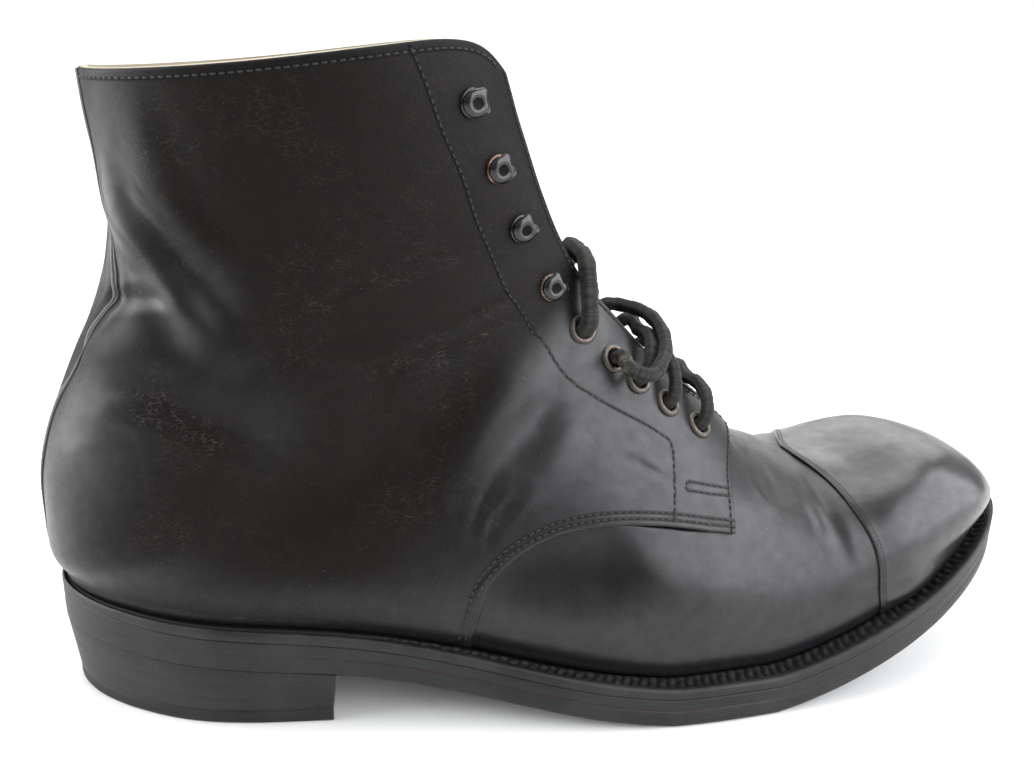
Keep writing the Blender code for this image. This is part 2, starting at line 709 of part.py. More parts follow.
# Insole on the welt's inner ledge, inside the upper
insole_rows = [(INSOLE_SEAT, 0.0), (INSOLE_SEAT + INSOLE - 0.5, 0.0), (INSOLE_SEAT + INSOLE, 0.5)]
count = 40
insole_rings = []
insole_bm = bmesh.new()
for height, inset in insole_rows:
    loop = outline_loop(count, lambda x, inset=inset: reveal(x) + VAMP_WALL + 0.6 + inset)
    rise = welt_top(loop[:, 0]) + height
    insole_rings.append([insole_bm.verts.new((x, y, z)) for (x, y), z in zip(loop, rise)])
for low, high in zip(insole_rings, insole_rings[1:]):
    for i in range(len(low)):
        j = (i + 1) % len(low)
        insole_bm.faces.new((low[i], high[i], high[j], low[j]))
for ring in (insole_rings[0], insole_rings[-1]):
    for i in range(count):
        insole_bm.faces.new(list(dict.fromkeys([ring[i], ring[i + 1], ring[-i - 1], ring[-i]])))
bmesh.ops.recalc_face_normals(insole_bm, faces=insole_bm.faces)
new_object("insole", insole_bm, INSOLE_LOOK)

# Upper: one wall, with a step where the quarters lie over the vamp
def toe_start(around):
    return np.zeros(len(around))


def cap_edge(around):
    return edge_at(CAP_EDGE, around)


def quarter_edge(around):
    return edge_at(EDGE, around)


def heel_line(around):
    return np.full(len(around), HEEL_ROW)


def topline(around):
    return edge_at(TOPLINE, around)


def tongue_foot(around):
    return np.full(len(around), 8.2)


def tongue_top(around):
    """Rounded top end, below the collar."""
    return 22.5 - 0.9 * (around / TONGUE_COLUMNS[-1]) ** 10


upper_shell, cap_shell, tongue_shell = Shell(), Shell(), Shell()
arounds, side_arounds = np.array(CENTRE + SIDE), np.array(SIDE)
for side in (-1, 1):
    rows = band_rows([toe_start, cap_edge, quarter_edge], (8, 5), arounds)
    inner_rows = rows.copy()
    inner_rows[-1, len(CENTRE):] += STEP_SHIFT
    vamp_out = skin_points(rows, np.broadcast_to(arounds, rows.shape), side, 0.0)
    vamp_in = skin_points(inner_rows, np.broadcast_to(arounds, rows.shape), side, -VAMP_WALL)
    upper_shell.add(vamp_out, vamp_in, side)
    upper_shell.add_skirt(vamp_out[:, -1], vamp_in[:, -1], side)

    rows = band_rows([quarter_edge, heel_line, topline], (9, 12), side_arounds)
    inner_rows = rows.copy()
    inner_rows[0] += STEP_SHIFT
    around = np.broadcast_to(side_arounds, rows.shape)
    quarter_out = skin_points(rows, around, side, facing_lift(rows, around))
    quarter_in = skin_points(inner_rows, around, side, facing_lift(inner_rows, around) - QUARTER_WALL)
    upper_shell.add(quarter_out, quarter_in, side)
    foot = rows[:, -1] <= HEEL_ROW + 1e-6
    upper_shell.add_skirt(quarter_out[foot, -1], quarter_in[foot, -1], side)

    step_out = np.stack([vamp_out[-1, len(CENTRE):], quarter_out[0]])
    step_in = np.stack([vamp_in[-1, len(CENTRE):], quarter_in[0]])
    upper_shell.add(step_out, step_in, side)
    upper_shell.add_skirt(step_out[:, -1], step_in[:, -1], side)

    # Toe cap laid over the vamp
    rows = band_rows([toe_start, cap_edge], (8,), arounds)
    around = np.broadcast_to(arounds, rows.shape)
    cap_out = skin_points(rows, around, side, GAP + CAP_WALL)
    cap_in = skin_points(rows, around, side, GAP)
    cap_shell.add(cap_out, cap_in, side)
    cap_shell.add_skirt(cap_out[:, -1], cap_in[:, -1], side)

    # Tongue under the facings, from inside the vamp to below the collar
    across = np.array(TONGUE_COLUMNS)
    rows = band_rows([tongue_foot, tongue_top], (14,), across)
    around = np.broadcast_to(across, rows.shape)
    tongue_shell.add(skin_points(rows, around, side, -TONGUE_DEPTH),
                     skin_points(rows, around, side, -TONGUE_DEPTH - TONGUE_WALL), side)
upper = upper_shell.build("upper", UPPER_LOOK)
cap_shell.build("toe_cap", CAP_LOOK)
tongue_shell.build("tongue", TONGUE_LOOK)

# Eyelets set in punched holes
eyelet_mesh = baked(turned("eyelet_form", [
    (EYELET_BORE, -QUARTER_WALL),
    (EYELET_PUNCH - GAP, -QUARTER_WALL),
    (EYELET_PUNCH - GAP, EYELET_SEAT),
    (EYELET_RADIUS, EYELET_SEAT),
    (EYELET_RADIUS - 0.4, EYELET_HEIGHT - 0.1),
    (EYELET_BORE + 0.5, EYELET_HEIGHT),
], 11))
eyelet_mesh.materials.append(EYELET_LOOK)
punch_bm = bmesh.new()
for side, word in ((-1, "outer"), (1, "inner")):
    for i, seat in enumerate(named(EYELETS, EYELET_COLUMNS)):
        place = seat_frame(seat["section"], seat["setback"], side)
        eyelet = bpy.data.objects.new(f"eyelet_{word}_{i + 1}", eyelet_mesh)
        link(eyelet, PIECES)
        eyelet.matrix_world = place
        bmesh.ops.create_cone(punch_bm, cap_ends=True, segments=12, radius1=EYELET_PUNCH * MM,
                              radius2=EYELET_PUNCH * MM, depth=12.0 * MM, matrix=place)
punch_mesh = bpy.data.meshes.new("punches")
punch_bm.to_mesh(punch_mesh)
punch_bm.free()
punches = helper(bpy.data.objects.new("punches", punch_mesh))
boolean(upper, punches, "DIFFERENCE")

# Hooks: a sheet bent over on itself, round at foot and lip
half = HOOK_SIZE / 2.0
bend = np.linspace(-math.pi / 2, math.pi / 2, 5)
bend_radius = HOOK_RISE / 2.0


def hook_bend(radius, angles):
    """Points round the bend between the hook's foot and lip."""
    return [(half - bend_radius + radius * math.cos(a), bend_radius + radius * math.sin(a)) for a in angles]


hook_outline = [(-half, 0.0)]
hook_outline += hook_bend(bend_radius, bend)
hook_outline += [(-half * 0.85, HOOK_RISE), (-half * 0.85, HOOK_RISE - HOOK_SHEET)]
hook_outline += hook_bend(bend_radius - HOOK_SHEET, bend[::-1])
hook_outline += [(-half, HOOK_SHEET)]
hook = extruded("hook_form", hook_outline, HOOK_SIZE)
hook.data.transform(Matrix.Rotation(math.pi / 2, 4, "X"))
round_bm = bmesh.new()
bmesh.ops.create_cone(round_bm, cap_ends=True, segments=14, radius1=half * MM, radius2=half * MM, depth=0.02)
round_mesh = bpy.data.meshes.new("hook_round")
round_bm.to_mesh(round_mesh)
round_bm.free()
hook_round = helper(bpy.data.objects.new("hook_round", round_mesh))
boolean(hook, hook_round, "INTERSECT")
hook_mesh = baked(hook)
hook_mesh.materials.append(HOOK_LOOK)
for side, word in ((-1, "outer"), (1, "inner")):
    for i, seat in enumerate(named(HOOKS, HOOK_COLUMNS)):
        made = bpy.data.objects.new(f"hook_{word}_{i + 1}", hook_mesh)
        link(made, PIECES)
        made.matrix_world = seat_frame(seat["section"], seat["setback"], side, GAP)

# Lace bars between paired eyelets, and the slack loop at the fourth pair
rise = EYELET_HEIGHT + LACE_RADIUS + GAP


def lace_bar(pair):
    """Path of a bar from one eyelet's mouth over both facing edges to the other eyelet of the pair. It sags
    between the facings, and less the more it climbs."""
    seat = named(EYELETS, EYELET_COLUMNS)[pair]
    path = []
    for side in (-1, 1):
        half_path = []
        for share, height in ((0.0, rise), (0.35, rise + 0.9), (0.75, rise + 0.6), (1.0, rise - 0.1)):
            row = seat["section"] + seat["climb"] * share
            place = seat_frame(row, seat["setback"] * (1.0 - share), side, height)
            half_path.append(np.array(place.translation) / MM + np.array(ORIGIN))
        path.append(half_path)
    sag = LACE_SAG * (1.0 - seat["climb"])
    middle = (path[0][-1] + path[1][-1]) / 2.0 - np.array([0.0, 0.0, sag])
    return path[0] + [middle] + path[1][::-1]


for i in (0, 1, 2, 4):
    tube(f"lace_bar_{i + 1}", lace_bar(i), LACE_LOOK)
mouth, *_, inner_side, inner_mouth = lace_bar(3)
loop_path = [mouth]
for step in named(LOOP, LOOP_COLUMNS):
    loop_path.append(mouth + np.array([step["forward"], step["inward"], step["up"]]))
loop_path += [inner_side + np.array([0.0, 0.0, LOOP_LIFT]), inner_mouth]
tube("lace_loop", loop_path, LACE_LOOK)
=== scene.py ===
import math

import bmesh
import bpy
import numpy as np
from mathutils import Matrix, Vector


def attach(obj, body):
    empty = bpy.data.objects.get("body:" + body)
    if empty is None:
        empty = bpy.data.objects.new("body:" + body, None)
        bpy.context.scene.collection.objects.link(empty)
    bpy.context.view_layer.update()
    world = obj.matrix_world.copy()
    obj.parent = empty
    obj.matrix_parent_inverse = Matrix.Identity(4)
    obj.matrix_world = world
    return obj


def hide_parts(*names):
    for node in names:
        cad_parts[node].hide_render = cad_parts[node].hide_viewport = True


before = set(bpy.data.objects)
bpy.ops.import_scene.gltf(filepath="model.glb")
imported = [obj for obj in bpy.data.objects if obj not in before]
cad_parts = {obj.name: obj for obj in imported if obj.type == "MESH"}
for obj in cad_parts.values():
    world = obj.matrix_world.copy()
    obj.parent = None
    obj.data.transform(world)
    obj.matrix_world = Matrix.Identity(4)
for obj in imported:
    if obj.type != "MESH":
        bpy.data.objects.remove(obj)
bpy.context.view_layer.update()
print("frame loaded,", len(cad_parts), "nodes")

mm = 0.001
bootMiddle = np.array([150.62, -3.81, 0.0])  # the frame's origin, in the last's own millimetres
outer, inner = -1, 1  # sides of the foot: the outer one faces the camera

# The last: sections across the foot from the toe to the collar, in millimetres from the heel's back
last = dict(
    skirt=3.0,  # straight band above the welt
    seat=0.3,  # clearance over the welt
    flare=1.4,  # the forepart is drawn out this far where it meets the welt
    flareFrom=1.86,  # way round where that starts
    crevice=(0.9, 0.7, 0.2, 0.0),  # distance from a dark groove, down the band above the welt: painted shade of the crevice over the welt
    heelRow=15.0,
    collarRow=24.0,
    throat=8.62,  # section where the facings start
    halfGap=(6.5, 13.5),  # half the throat's opening at its base and at the collar
    columns=("bottomX", "lift", "ridgeX", "ridgeY", "ridgeZ", "lateral", "medial", "widest", "low", "high"),
    sections=[
        (295.0, 0.0, 295.0, 0.0, 46.0, 0.0, 0.0, 0.45, 2.2, 2.2),
        (294.0, 0.0, 297.0, 0.0, 49.0, 8.5, 8.5, 0.45, 2.2, 2.2),
        (291.0, 0.0, 294.6, 0.5, 53.5, 16.0, 16.0, 0.42, 2.2, 2.3),
        (284.5, 0.0, 288.5, 1.0, 59.0, 23.0, 23.0, 0.40, 2.2, 2.4),
        (275.0, 0.0, 278.5, 1.5, 64.4, 29.5, 29.5, 0.36, 2.2, 2.4),
        (261.0, 0.0, 263.5, 2.5, 67.0, 35.5, 35.5, 0.32, 2.2, 2.4),
        (245.0, 0.0, 247.0, 3.0, 63.5, 40.0, 40.0, 0.30, 2.2, 2.3),
        (228.0, 0.0, 229.5, 3.5, 61.5, 42.5, 42.0, 0.28, 2.2, 2.2),
        (208.0, 0.0, 211.0, 3.5, 65.5, 43.5, 43.0, 0.28, 2.2, 2.1),
        (185.0, 0.0, 197.5, 3.0, 75.5, 43.0, 43.0, 0.28, 2.2, 2.0),
        (155.0, 0.0, 187.0, 2.0, 86.5, 39.5, 41.0, 0.30, 2.3, 2.0),
        (120.0, 0.0, 179.0, 1.0, 96.5, 36.0, 37.5, 0.31, 2.4, 2.0),
        (82.0, 0.0, 172.0, 0.0, 105.0, 34.3, 34.8, 0.31, 2.5, 2.0),
        (45.0, 0.0, 166.8, -1.0, 111.8, 33.6, 33.4, 0.32, 2.6, 2.0),
        (20.0, 0.0, 162.6, -1.0, 117.2, 33.0, 32.6, 0.33, 2.6, 2.0),
        (2.3, 0.0, 158.8, -1.5, 122.2, 32.4, 32.0, 0.34, 2.6, 2.0),
        (0.4, 15.0, 155.3, -1.5, 127.4, 31.9, 31.5, 0.35, 2.6, 2.0),
        (0.8, 31.0, 152.2, -2.0, 132.8, 31.4, 31.2, 0.37, 2.5, 2.0),
        (4.8, 47.0, 149.0, -2.0, 139.0, 31.0, 31.2, 0.39, 2.4, 2.0),
        (11.5, 63.0, 145.8, -2.5, 145.8, 30.8, 31.4, 0.42, 2.3, 2.0),
        (18.8, 79.0, 142.6, -3.0, 153.0, 31.0, 32.0, 0.44, 2.2, 2.0),
        (24.0, 95.0, 139.5, -3.0, 160.7, 31.7, 32.8, 0.46, 2.2, 2.0),
        (25.0, 112.0, 135.8, -3.5, 170.0, 33.0, 34.0, 0.47, 2.2, 2.0),
        (22.8, 128.0, 132.3, -4.0, 180.0, 34.5, 35.0, 0.48, 2.1, 2.0),
        (21.5, 144.0, 128.0, -4.0, 190.0, 36.0, 36.0, 0.48, 2.0, 2.0),
    ],
)

# The sole: its outline as a share of the length with outer and inner offsets, and its side view
sole = dict(
    length=302.5,
    outsole=5.2,
    midsole=3.3,
    welt=3.0,
    topLift=4.5,
    layerGap=0.4,
    breast=81.0,
    breastHollow=4.0,
    taper=2.2,
    outline=[  # share of the length, outer, inner
        (0.000, 0.0, 0.0), (0.035, 20.5, 21.0), (0.080, 30.0, 28.5), (0.140, 37.5, 31.0),
        (0.220, 41.0, 29.5), (0.300, 42.8, 25.0), (0.400, 47.5, 22.5), (0.500, 53.5, 27.5),
        (0.600, 55.5, 38.0), (0.700, 53.0, 46.0), (0.800, 48.0, 47.5), (0.880, 39.8, 41.5),
        (0.940, 28.5, 30.5), (0.980, 16.0, 18.0), (1.000, 0.0, 0.0),
    ],
    profile=[  # distance from the heel's back, height of the underside, welt shown outside the upper
        (0.0, 22.8, 2.2), (40.0, 20.2, 3.6), (81.0, 16.8, 4.2), (120.0, 10.0, 5.4), (155.0, 3.0, 7.0),
        (182.0, -0.4, 8.0), (206.0, -0.4, 8.4), (232.0, 5.4, 8.4), (260.0, 15.4, 8.4), (284.0, 25.4, 8.2),
        (302.5, 33.5, 7.6),
    ],
)


# Curves and the last's surface

def smoothCurve(knots, values):
    x, y = np.asarray(knots, float), np.asarray(values, float)
    h, n = np.diff(x), len(x)
    system, right = np.eye(n), np.zeros(n)
    for i in range(1, n - 1):
        system[i, i - 1:i + 2] = h[i - 1], 2 * (h[i - 1] + h[i]), h[i]
        right[i] = 6 * ((y[i + 1] - y[i]) / h[i] - (y[i] - y[i - 1]) / h[i - 1])
    bend = np.linalg.solve(system, right)

    def value(at):
        at = np.clip(np.asarray(at, float), x[0], x[-1])
        i = np.clip(np.searchsorted(x, at, side="right") - 1, 0, n - 2)
        left, rest = at - x[i], x[i + 1] - at
        return ((bend[i] * rest ** 3 + bend[i + 1] * left ** 3) / (6 * h[i])
                + (y[i] / h[i] - bend[i] * h[i] / 6) * rest
                + (y[i + 1] / h[i] - bend[i + 1] * h[i] / 6) * left)
    return value


def ease(low, high, at):
    share = np.clip((np.asarray(at, float) - low) / (high - low), 0.0, 1.0)
    return share * share * (3.0 - 2.0 * share)


def smoothPath(points, count):
    points = np.asarray(points, float)
    steps = np.maximum(np.linalg.norm(np.diff(points, axis=0), axis=1), 1e-9)
    along = np.concatenate([[0.0], np.cumsum(steps)])
    at = np.linspace(0.0, along[-1], count)
    return np.stack([smoothCurve(along, points[:, k])(at) for k in range(points.shape[1])], 1)


def evenPath(points, count):  # the same line, with points at even distances
    points = np.asarray(points, float)
    along = np.concatenate([[0.0], np.cumsum(np.linalg.norm(np.diff(points, axis=0), axis=1))])
    at = np.linspace(0.0, along[-1], count)
    return np.stack([np.interp(at, along, points[:, k]) for k in range(points.shape[1])], 1)


outlineRows = np.array(sole["outline"])
profileRows = np.array(sole["profile"])
outlineTurn = np.arccos(1.0 - 2.0 * outlineRows[:, 0])  # heel and toe come out round on a half turn
outerEdge = smoothCurve(outlineTurn, outlineRows[:, 1])
innerEdge = smoothCurve(outlineTurn, outlineRows[:, 2])
undersideCurve = smoothCurve(profileRows[:, 0], profileRows[:, 1])
reveal = smoothCurve(profileRows[:, 0], profileRows[:, 2])


def underside(x):
    return np.maximum(undersideCurve(x), 0.0)


weltHeight = sole["outsole"] + sole["midsole"] + sole["welt"] + 2 * sole["layerGap"]


def weltTop(x):
    return underside(x) + weltHeight


def outlineLoop(count):
    turn = np.linspace(0.0, math.pi, count + 1)
    x = sole["length"] * (1.0 - np.cos(turn)) / 2.0
    there = np.stack([x, -outerEdge(turn)], 1)
    back = np.stack([x, innerEdge(turn)], 1)[-2:0:-1]
    return np.concatenate([there, back])


def insetLoop(loop, inset):
    along = np.roll(loop, -1, 0) - np.roll(loop, 1, 0)
    normal = np.stack([-along[:, 1], along[:, 0]], 1) / np.linalg.norm(along, axis=1)[:, None]
    return loop + normal * np.broadcast_to(inset, len(loop))[:, None]


featherLoop = insetLoop(outlineLoop(200), reveal(outlineLoop(200)[:, 0]))
featherHalf = len(featherLoop) // 2
featherOuter = featherLoop[:featherHalf + 1]
featherInner = np.concatenate([featherLoop[featherHalf:], featherLoop[:1]])[::-1]


def feather(x):  # centre and half width where the upper meets the welt
    low = np.interp(x, featherOuter[:, 0], featherOuter[:, 1])
    high = np.interp(x, featherInner[:, 0], featherInner[:, 1])
    return (low + high) / 2.0, np.maximum((high - low) / 2.0, 0.0)


sectionRows = np.array(last["sections"])
sectionCurve = {name: smoothCurve(np.arange(len(sectionRows)), sectionRows[:, k])
                for k, name in enumerate(last["columns"])}
arcSteps = 96


def halfSections(row, side):
    at = {name: curve(row)[:, None] for name, curve in sectionCurve.items()}
    isBack = (row >= last["heelRow"])[:, None]
    lift = np.where(isBack, np.maximum(at["lift"], 0.0), 0.0)
    bottomX = at["bottomX"]
    bottomZ = weltTop(bottomX) + last["seat"] + last["skirt"] + lift
    bottomY, footWidth = feather(bottomX)
    footWidth = np.where(isBack, 0.0, footWidth)
    toe = np.minimum(row, 1.0)[:, None]
    ridgeZ = bottomZ + (at["ridgeZ"] - bottomZ) * toe
    widest = np.clip(at["widest"], 0.05, 0.9)
    width = np.maximum(at["lateral"] if side == outer else at["medial"], footWidth + 1e-3)
    angle = np.linspace(0.0, math.pi, arcSteps)[None, :]
    up = np.clip(angle, 0.0, math.pi / 2)
    drop = np.sin(np.clip(angle - math.pi / 2, 0.0, math.pi / 2))
    power = 2.0 / at["high"]
    keep = 1.0 - (footWidth / width) ** at["low"]
    outLow = np.maximum(1.0 - keep * drop ** at["low"], 0.0) ** (1.0 / at["low"])
    isLow = angle > math.pi / 2
    climb = np.where(isLow, widest * (1.0 - drop), widest + (1.0 - widest) * np.cos(up) ** power)
    out = width * np.where(isLow, outLow, np.sin(up) ** power)
    centre = bottomY + (at["ridgeY"] - bottomY) * climb
    points = np.stack([bottomX + (at["ridgeX"] - bottomX) * climb, centre + side * out,
                       bottomZ + (ridgeZ - bottomZ) * climb], -1)
    steps = np.linalg.norm(np.diff(points, axis=1), axis=2)
    return points, np.concatenate([np.zeros((len(row), 1)), np.cumsum(steps, 1)], 1)


def facingGap(row):
    share = np.clip((row - last["throat"]) / (last["collarRow"] - last["throat"]), 0.0, 1.0)
    return last["halfGap"][0] + (last["halfGap"][1] - last["halfGap"][0]) * share


def lastPoint(row, around, side):  # around is 0 at the ridge, 1 at the facing's edge, 2 at the feather line
    row, around = np.broadcast_arrays(np.asarray(row, float), np.asarray(around, float))
    flatRow, flatAround = row.ravel(), around.ravel()
    found = np.empty((len(flatRow), 3))
    for start in range(0, len(flatRow), 4000):
        part = slice(start, start + 4000)
        points, arc = halfSections(flatRow[part], side)
        total = arc[:, -1]
        edge = np.minimum(facingGap(flatRow[part]), total * 0.4)
        at = flatAround[part]
        want = np.where(at <= 1.0, edge * at, edge + (total - edge) * (at - 1.0))
        index = np.clip((arc <= want[:, None]).sum(1) - 1, 0, arcSteps - 2)
        pick = np.arange(len(index))
        span = np.maximum(arc[pick, index + 1] - arc[pick, index], 1e-9)
        share = ((want - arc[pick, index]) / span)[:, None]
        found[part] = points[pick, index] * (1 - share) + points[pick, index + 1] * share
    return found.reshape(row.shape + (3,))


def lastNormal(row, around, side):
    row, around = np.broadcast_arrays(np.asarray(row, float), np.asarray(around, float))
    ahead = lastPoint(np.minimum(row + 0.05, last["collarRow"]), around, side)
    behind = lastPoint(np.maximum(row - 0.05, 0.01), around, side)
    down = lastPoint(row, np.minimum(around + 0.02, 2.0), side)
    up = lastPoint(row, np.maximum(around - 0.02, 0.0), side)
    normal = np.cross(down - up, ahead - behind) * side
    return normal / np.maximum(np.linalg.norm(normal, axis=-1, keepdims=True), 1e-12)


def skinFrame(row, around, side):  # point and normal; both halves share the ridge and the back seam
    row, around = np.broadcast_arrays(np.asarray(row, float), np.asarray(around, float))
    point = lastPoint(row, around, side)
    normal = lastNormal(np.maximum(row, 0.3), around, side)
    normal = np.where((row < 1e-6)[..., None], np.array([1.0, 0.0, 0.0]), normal)
    for shared in (around < 1e-6, (around > 1.9999) & (row >= last["heelRow"] - 1e-6)):
        if shared.any():
            both = normal[shared] + lastNormal(np.maximum(row[shared], 0.3), around[shared], -side)
            both[:, 1] = 0.0
            normal[shared] = both / np.linalg.norm(both, axis=-1, keepdims=True)
            point[shared] = (point[shared] + lastPoint(row[shared], around[shared], -side)) / 2.0
    return point, normal


# Creases and soft forms worn into the leather, placed by section and way round. A crease with a negative
# depth stands up as a ridge. The inner side gets the same ones, shifted and shallower.
creaseColumns = ("panel", "width", "depth", "path")
creaseTable = [
    ("quarter", 5.5, -1.6, [
        (22.90, 1.89), (21.63, 1.87), (21.18, 1.81), (20.60, 1.74), (19.90, 1.69), (19.10, 1.64),
        (17.60, 1.55)]),
    ("quarter", 4.5, 1.3, [
        (23.00, 1.83), (21.71, 1.82), (21.15, 1.76), (20.47, 1.70), (19.70, 1.64), (18.30, 1.55)]),
    ("quarter", 5.0, -0.8, [
        (23.60, 1.77), (22.71, 1.75), (21.80, 1.73), (21.19, 1.70), (20.61, 1.65), (19.80, 1.59)]),
    ("quarter", 2.4, 0.8, [(20.22, 1.91), (20.15, 1.84), (20.11, 1.79), (20.00, 1.74), (19.80, 1.70)]),
    ("quarter", 5.0, 1.0, [(19.04, 1.95), (18.58, 1.79), (17.53, 1.65), (15.78, 1.52), (14.61, 1.50)]),
    ("quarter", 2.2, 0.4, [(18.68, 1.83), (18.10, 1.73), (17.10, 1.62), (16.00, 1.54)]),
    ("quarter", 2.0, 0.35, [(18.20, 1.80), (17.60, 1.70), (16.70, 1.62), (15.60, 1.57)]),
    ("quarter", 10.0, -1.0, [(18.54, 1.55), (17.17, 1.48), (15.25, 1.43), (13.96, 1.47)]),
    ("quarter", 1.6, 0.3, [(18.26, 1.37), (19.12, 1.27), (19.14, 1.17)]),
    ("quarter", 1.8, 0.4, [(16.70, 1.33), (16.61, 1.21), (16.76, 1.10)]),
    ("quarter", 1.6, 0.35, [(16.11, 1.30), (15.85, 1.21), (15.70, 1.11)]),
    ("quarter", 2.2, 0.35, [(16.85, 1.42), (16.22, 1.30), (15.62, 1.19)]),
    ("quarter", 1.6, 0.25, [(18.69, 1.36), (18.77, 1.25), (18.54, 1.14)]),
    ("quarter", 8.0, -1.4, [(14.60, 1.12), (13.64, 1.26), (12.87, 1.41), (12.06, 1.59)]),
    ("quarter", 6.5, 1.05, [(12.90, 1.20), (12.56, 1.28), (12.31, 1.43), (12.15, 1.52), (11.80, 1.66)]),
    ("quarter", 5.5, -0.6, [(11.60, 1.28), (12.00, 1.41), (12.01, 1.49), (11.85, 1.62)]),
    ("quarter", 1.8, 0.45, [(11.85, 1.47), (11.77, 1.59), (11.62, 1.69)]),
    ("quarter", 1.4, 0.35, [(11.95, 1.55), (11.58, 1.71)]),
    ("quarter", 1.8, 0.40, [(12.31, 1.43), (12.04, 1.57), (11.63, 1.73)]),
    ("quarter", 1.5, 0.3, [(11.20, 1.34), (10.05, 1.38)]),
    ("quarter", 1.3, 0.25, [(10.80, 1.35), (10.03, 1.39)]),
    ("quarter", 1.3, 0.2, [(11.00, 1.26), (10.27, 1.29)]),
    ("vamp", 11.0, 1.5, [(11.60, 1.76), (10.68, 1.70), (10.06, 1.63)]),
    ("vamp", 8.0, -1.0, [(10.18, 1.56), (9.72, 1.70), (9.25, 1.70), (8.56, 1.79)]),
    ("vamp", 2.0, 0.5, [(8.40, 0.40), (8.21, 1.01), (7.97, 1.22), (7.70, 1.40)]),
    ("vamp", 1.5, 0.35, [(8.05, 0.20), (7.90, 1.01), (7.78, 1.21), (7.60, 1.40)]),
    ("vamp", 5.5, -0.5, [(7.70, 0.20), (7.55, 1.02), (7.45, 1.25), (7.35, 1.50)]),
    ("vamp", 2.6, 0.6, [(7.25, 1.15), (7.02, 1.29), (6.95, 1.46), (6.85, 1.60), (6.75, 1.76)]),
    ("vamp", 1.4, 0.4, [(7.35, 1.18), (7.20, 1.40), (7.10, 1.58)]),
    ("vamp", 16.0, -1.0, [(9.40, 0.05), (8.70, 0.05), (8.00, 0.05), (7.40, 0.05), (6.90, 0.05)]),
    ("cap", 30.0, 1.4, [(8.40, 0.02), (6.60, 0.02), (5.20, 0.02), (3.80, 0.02), (2.40, 0.02)]),
    ("cap", 6.0, -0.5, [(6.39, 1.45), (5.31, 1.35), (4.24, 1.16), (3.60, 0.60)]),
]
creaseTable += [("quarter", 3.2, -0.35, [(row, 1.01), (row + 0.02, 1.09), (row + 0.05, 1.21)])
                for row in (10.08, 10.96, 11.83, 12.98)]  # puckers between the eyelets
sideFolds = {
    outer: [  # the back seam lies in a fold at the ankle
        ("quarter", 2.2, 1.1, [
            (21.8, 1.92), (20.86, 1.90), (20.15, 1.865), (19.84, 1.89), (19.49, 1.91), (18.2, 1.92)]),
    ],
    inner: [  # the inner quarter swells past the back seam
        ("quarter", 7.0, -3.6, [(20.9, 1.93), (20.0, 1.90), (18.9, 1.90), (17.6, 1.92), (16.6, 1.94)]),
        ("quarter", 3.0, 0.9, [(20.2, 1.99), (20.1, 1.90), (19.9, 1.80)]),
        ("quarter", 2.0, 0.5, [(19.3, 1.99), (19.2, 1.91), (19.0, 1.84)]),
        ("quarter", 2.0, 0.5, [(18.5, 1.99), (18.4, 1.92), (18.1, 1.85)]),
    ],
}
innerShift = dict(row=0.18, around=-0.03, depth=0.8)
creaseForm = dict(
    reach=3.5,  # in widths, how far a crease is felt
    ends=0.3,  # share of its length over which it fades at each end
    shoulder=(0.35, 1.7, 0.8),  # the leather pushed up beside it: height, place and spread in widths
    wear=1.3,  # spread of its wear in widths
)


def creaseLines(side):
    lines = []
    for row in creaseTable + sideFolds[side]:
        crease = dict(zip(creaseColumns, row))
        path = smoothPath(crease["path"], 60)
        if side == inner and row in creaseTable:
            path = path + np.array([innerShift["row"], innerShift["around"]])
            crease["depth"] *= innerShift["depth"]
        line = lastPoint(path[:, 0], np.clip(path[:, 1], 0.0, 2.0), side)
        length = np.linalg.norm(np.diff(line, axis=0), axis=1).sum()
        crease["line"] = evenPath(line, max(12, int(length / min(0.9, 0.3 * crease["width"]))))
        lines.append(crease)
    return lines


creases = creaseLines(outer) + creaseLines(inner)


def lineDistance(points, line):  # distance from a line, and the share of its length at the nearest place
    away, share = np.empty(len(points)), np.empty(len(points))
    a, along = line[:-1], np.diff(line, axis=0)
    size = np.maximum((along ** 2).sum(1), 1e-9)
    for start in range(0, len(points), 3000):
        part = points[start:start + 3000]
        pick = ((part[:, None] - line[None]) ** 2).sum(2).argmin(1)
        best = np.full(len(part), 1e9)
        for shift in (-1, 0):
            k = np.clip(pick + shift, 0, len(a) - 1)
            t = np.clip(((part - a[k]) * along[k]).sum(1) / size[k], 0.0, 1.0)
            gap = np.linalg.norm(part - a[k] - along[k] * t[:, None], axis=1)
            closer = gap < best
            best = np.where(closer, gap, best)
            share[start:start + 3000] = np.where(closer, (k + t) / len(a), share[start:start + 3000])
        away[start:start + 3000] = best
    return away, share


def relief(point, panel):  # height that creases add at points of the last, and how worn they are
    flat = point.reshape(-1, 3)
    height, worn = np.zeros(len(flat)), np.zeros(len(flat))
    for crease in creases:
        if crease["panel"] != panel:
            continue
        line, width = crease["line"], crease["width"]
        reach = creaseForm["reach"] * width
        near = np.all((flat > line.min(0) - reach) & (flat < line.max(0) + reach), axis=1)
        if not near.any():
            continue
        away, share = lineDistance(flat[near], line)
        t = away / width
        fade = ease(0.0, creaseForm["ends"], share) * (1.0 - ease(1.0 - creaseForm["ends"], 1.0, share))
        high, beside, spread = creaseForm["shoulder"]
        shape = high * np.exp(-((t - beside) / spread) ** 2) - np.exp(-t * t)
        height[near] += crease["depth"] * fade * shape
        wear = fade * np.exp(-(t / creaseForm["wear"]) ** 2) * min(1.0, 2.0 / width)
        worn[near] = np.maximum(worn[near], wear)
    return height.reshape(point.shape[:-1]), worn.reshape(point.shape[:-1])


# Meshes

def toFrame(points):
    return (np.asarray(points, float) - bootMiddle) * mm


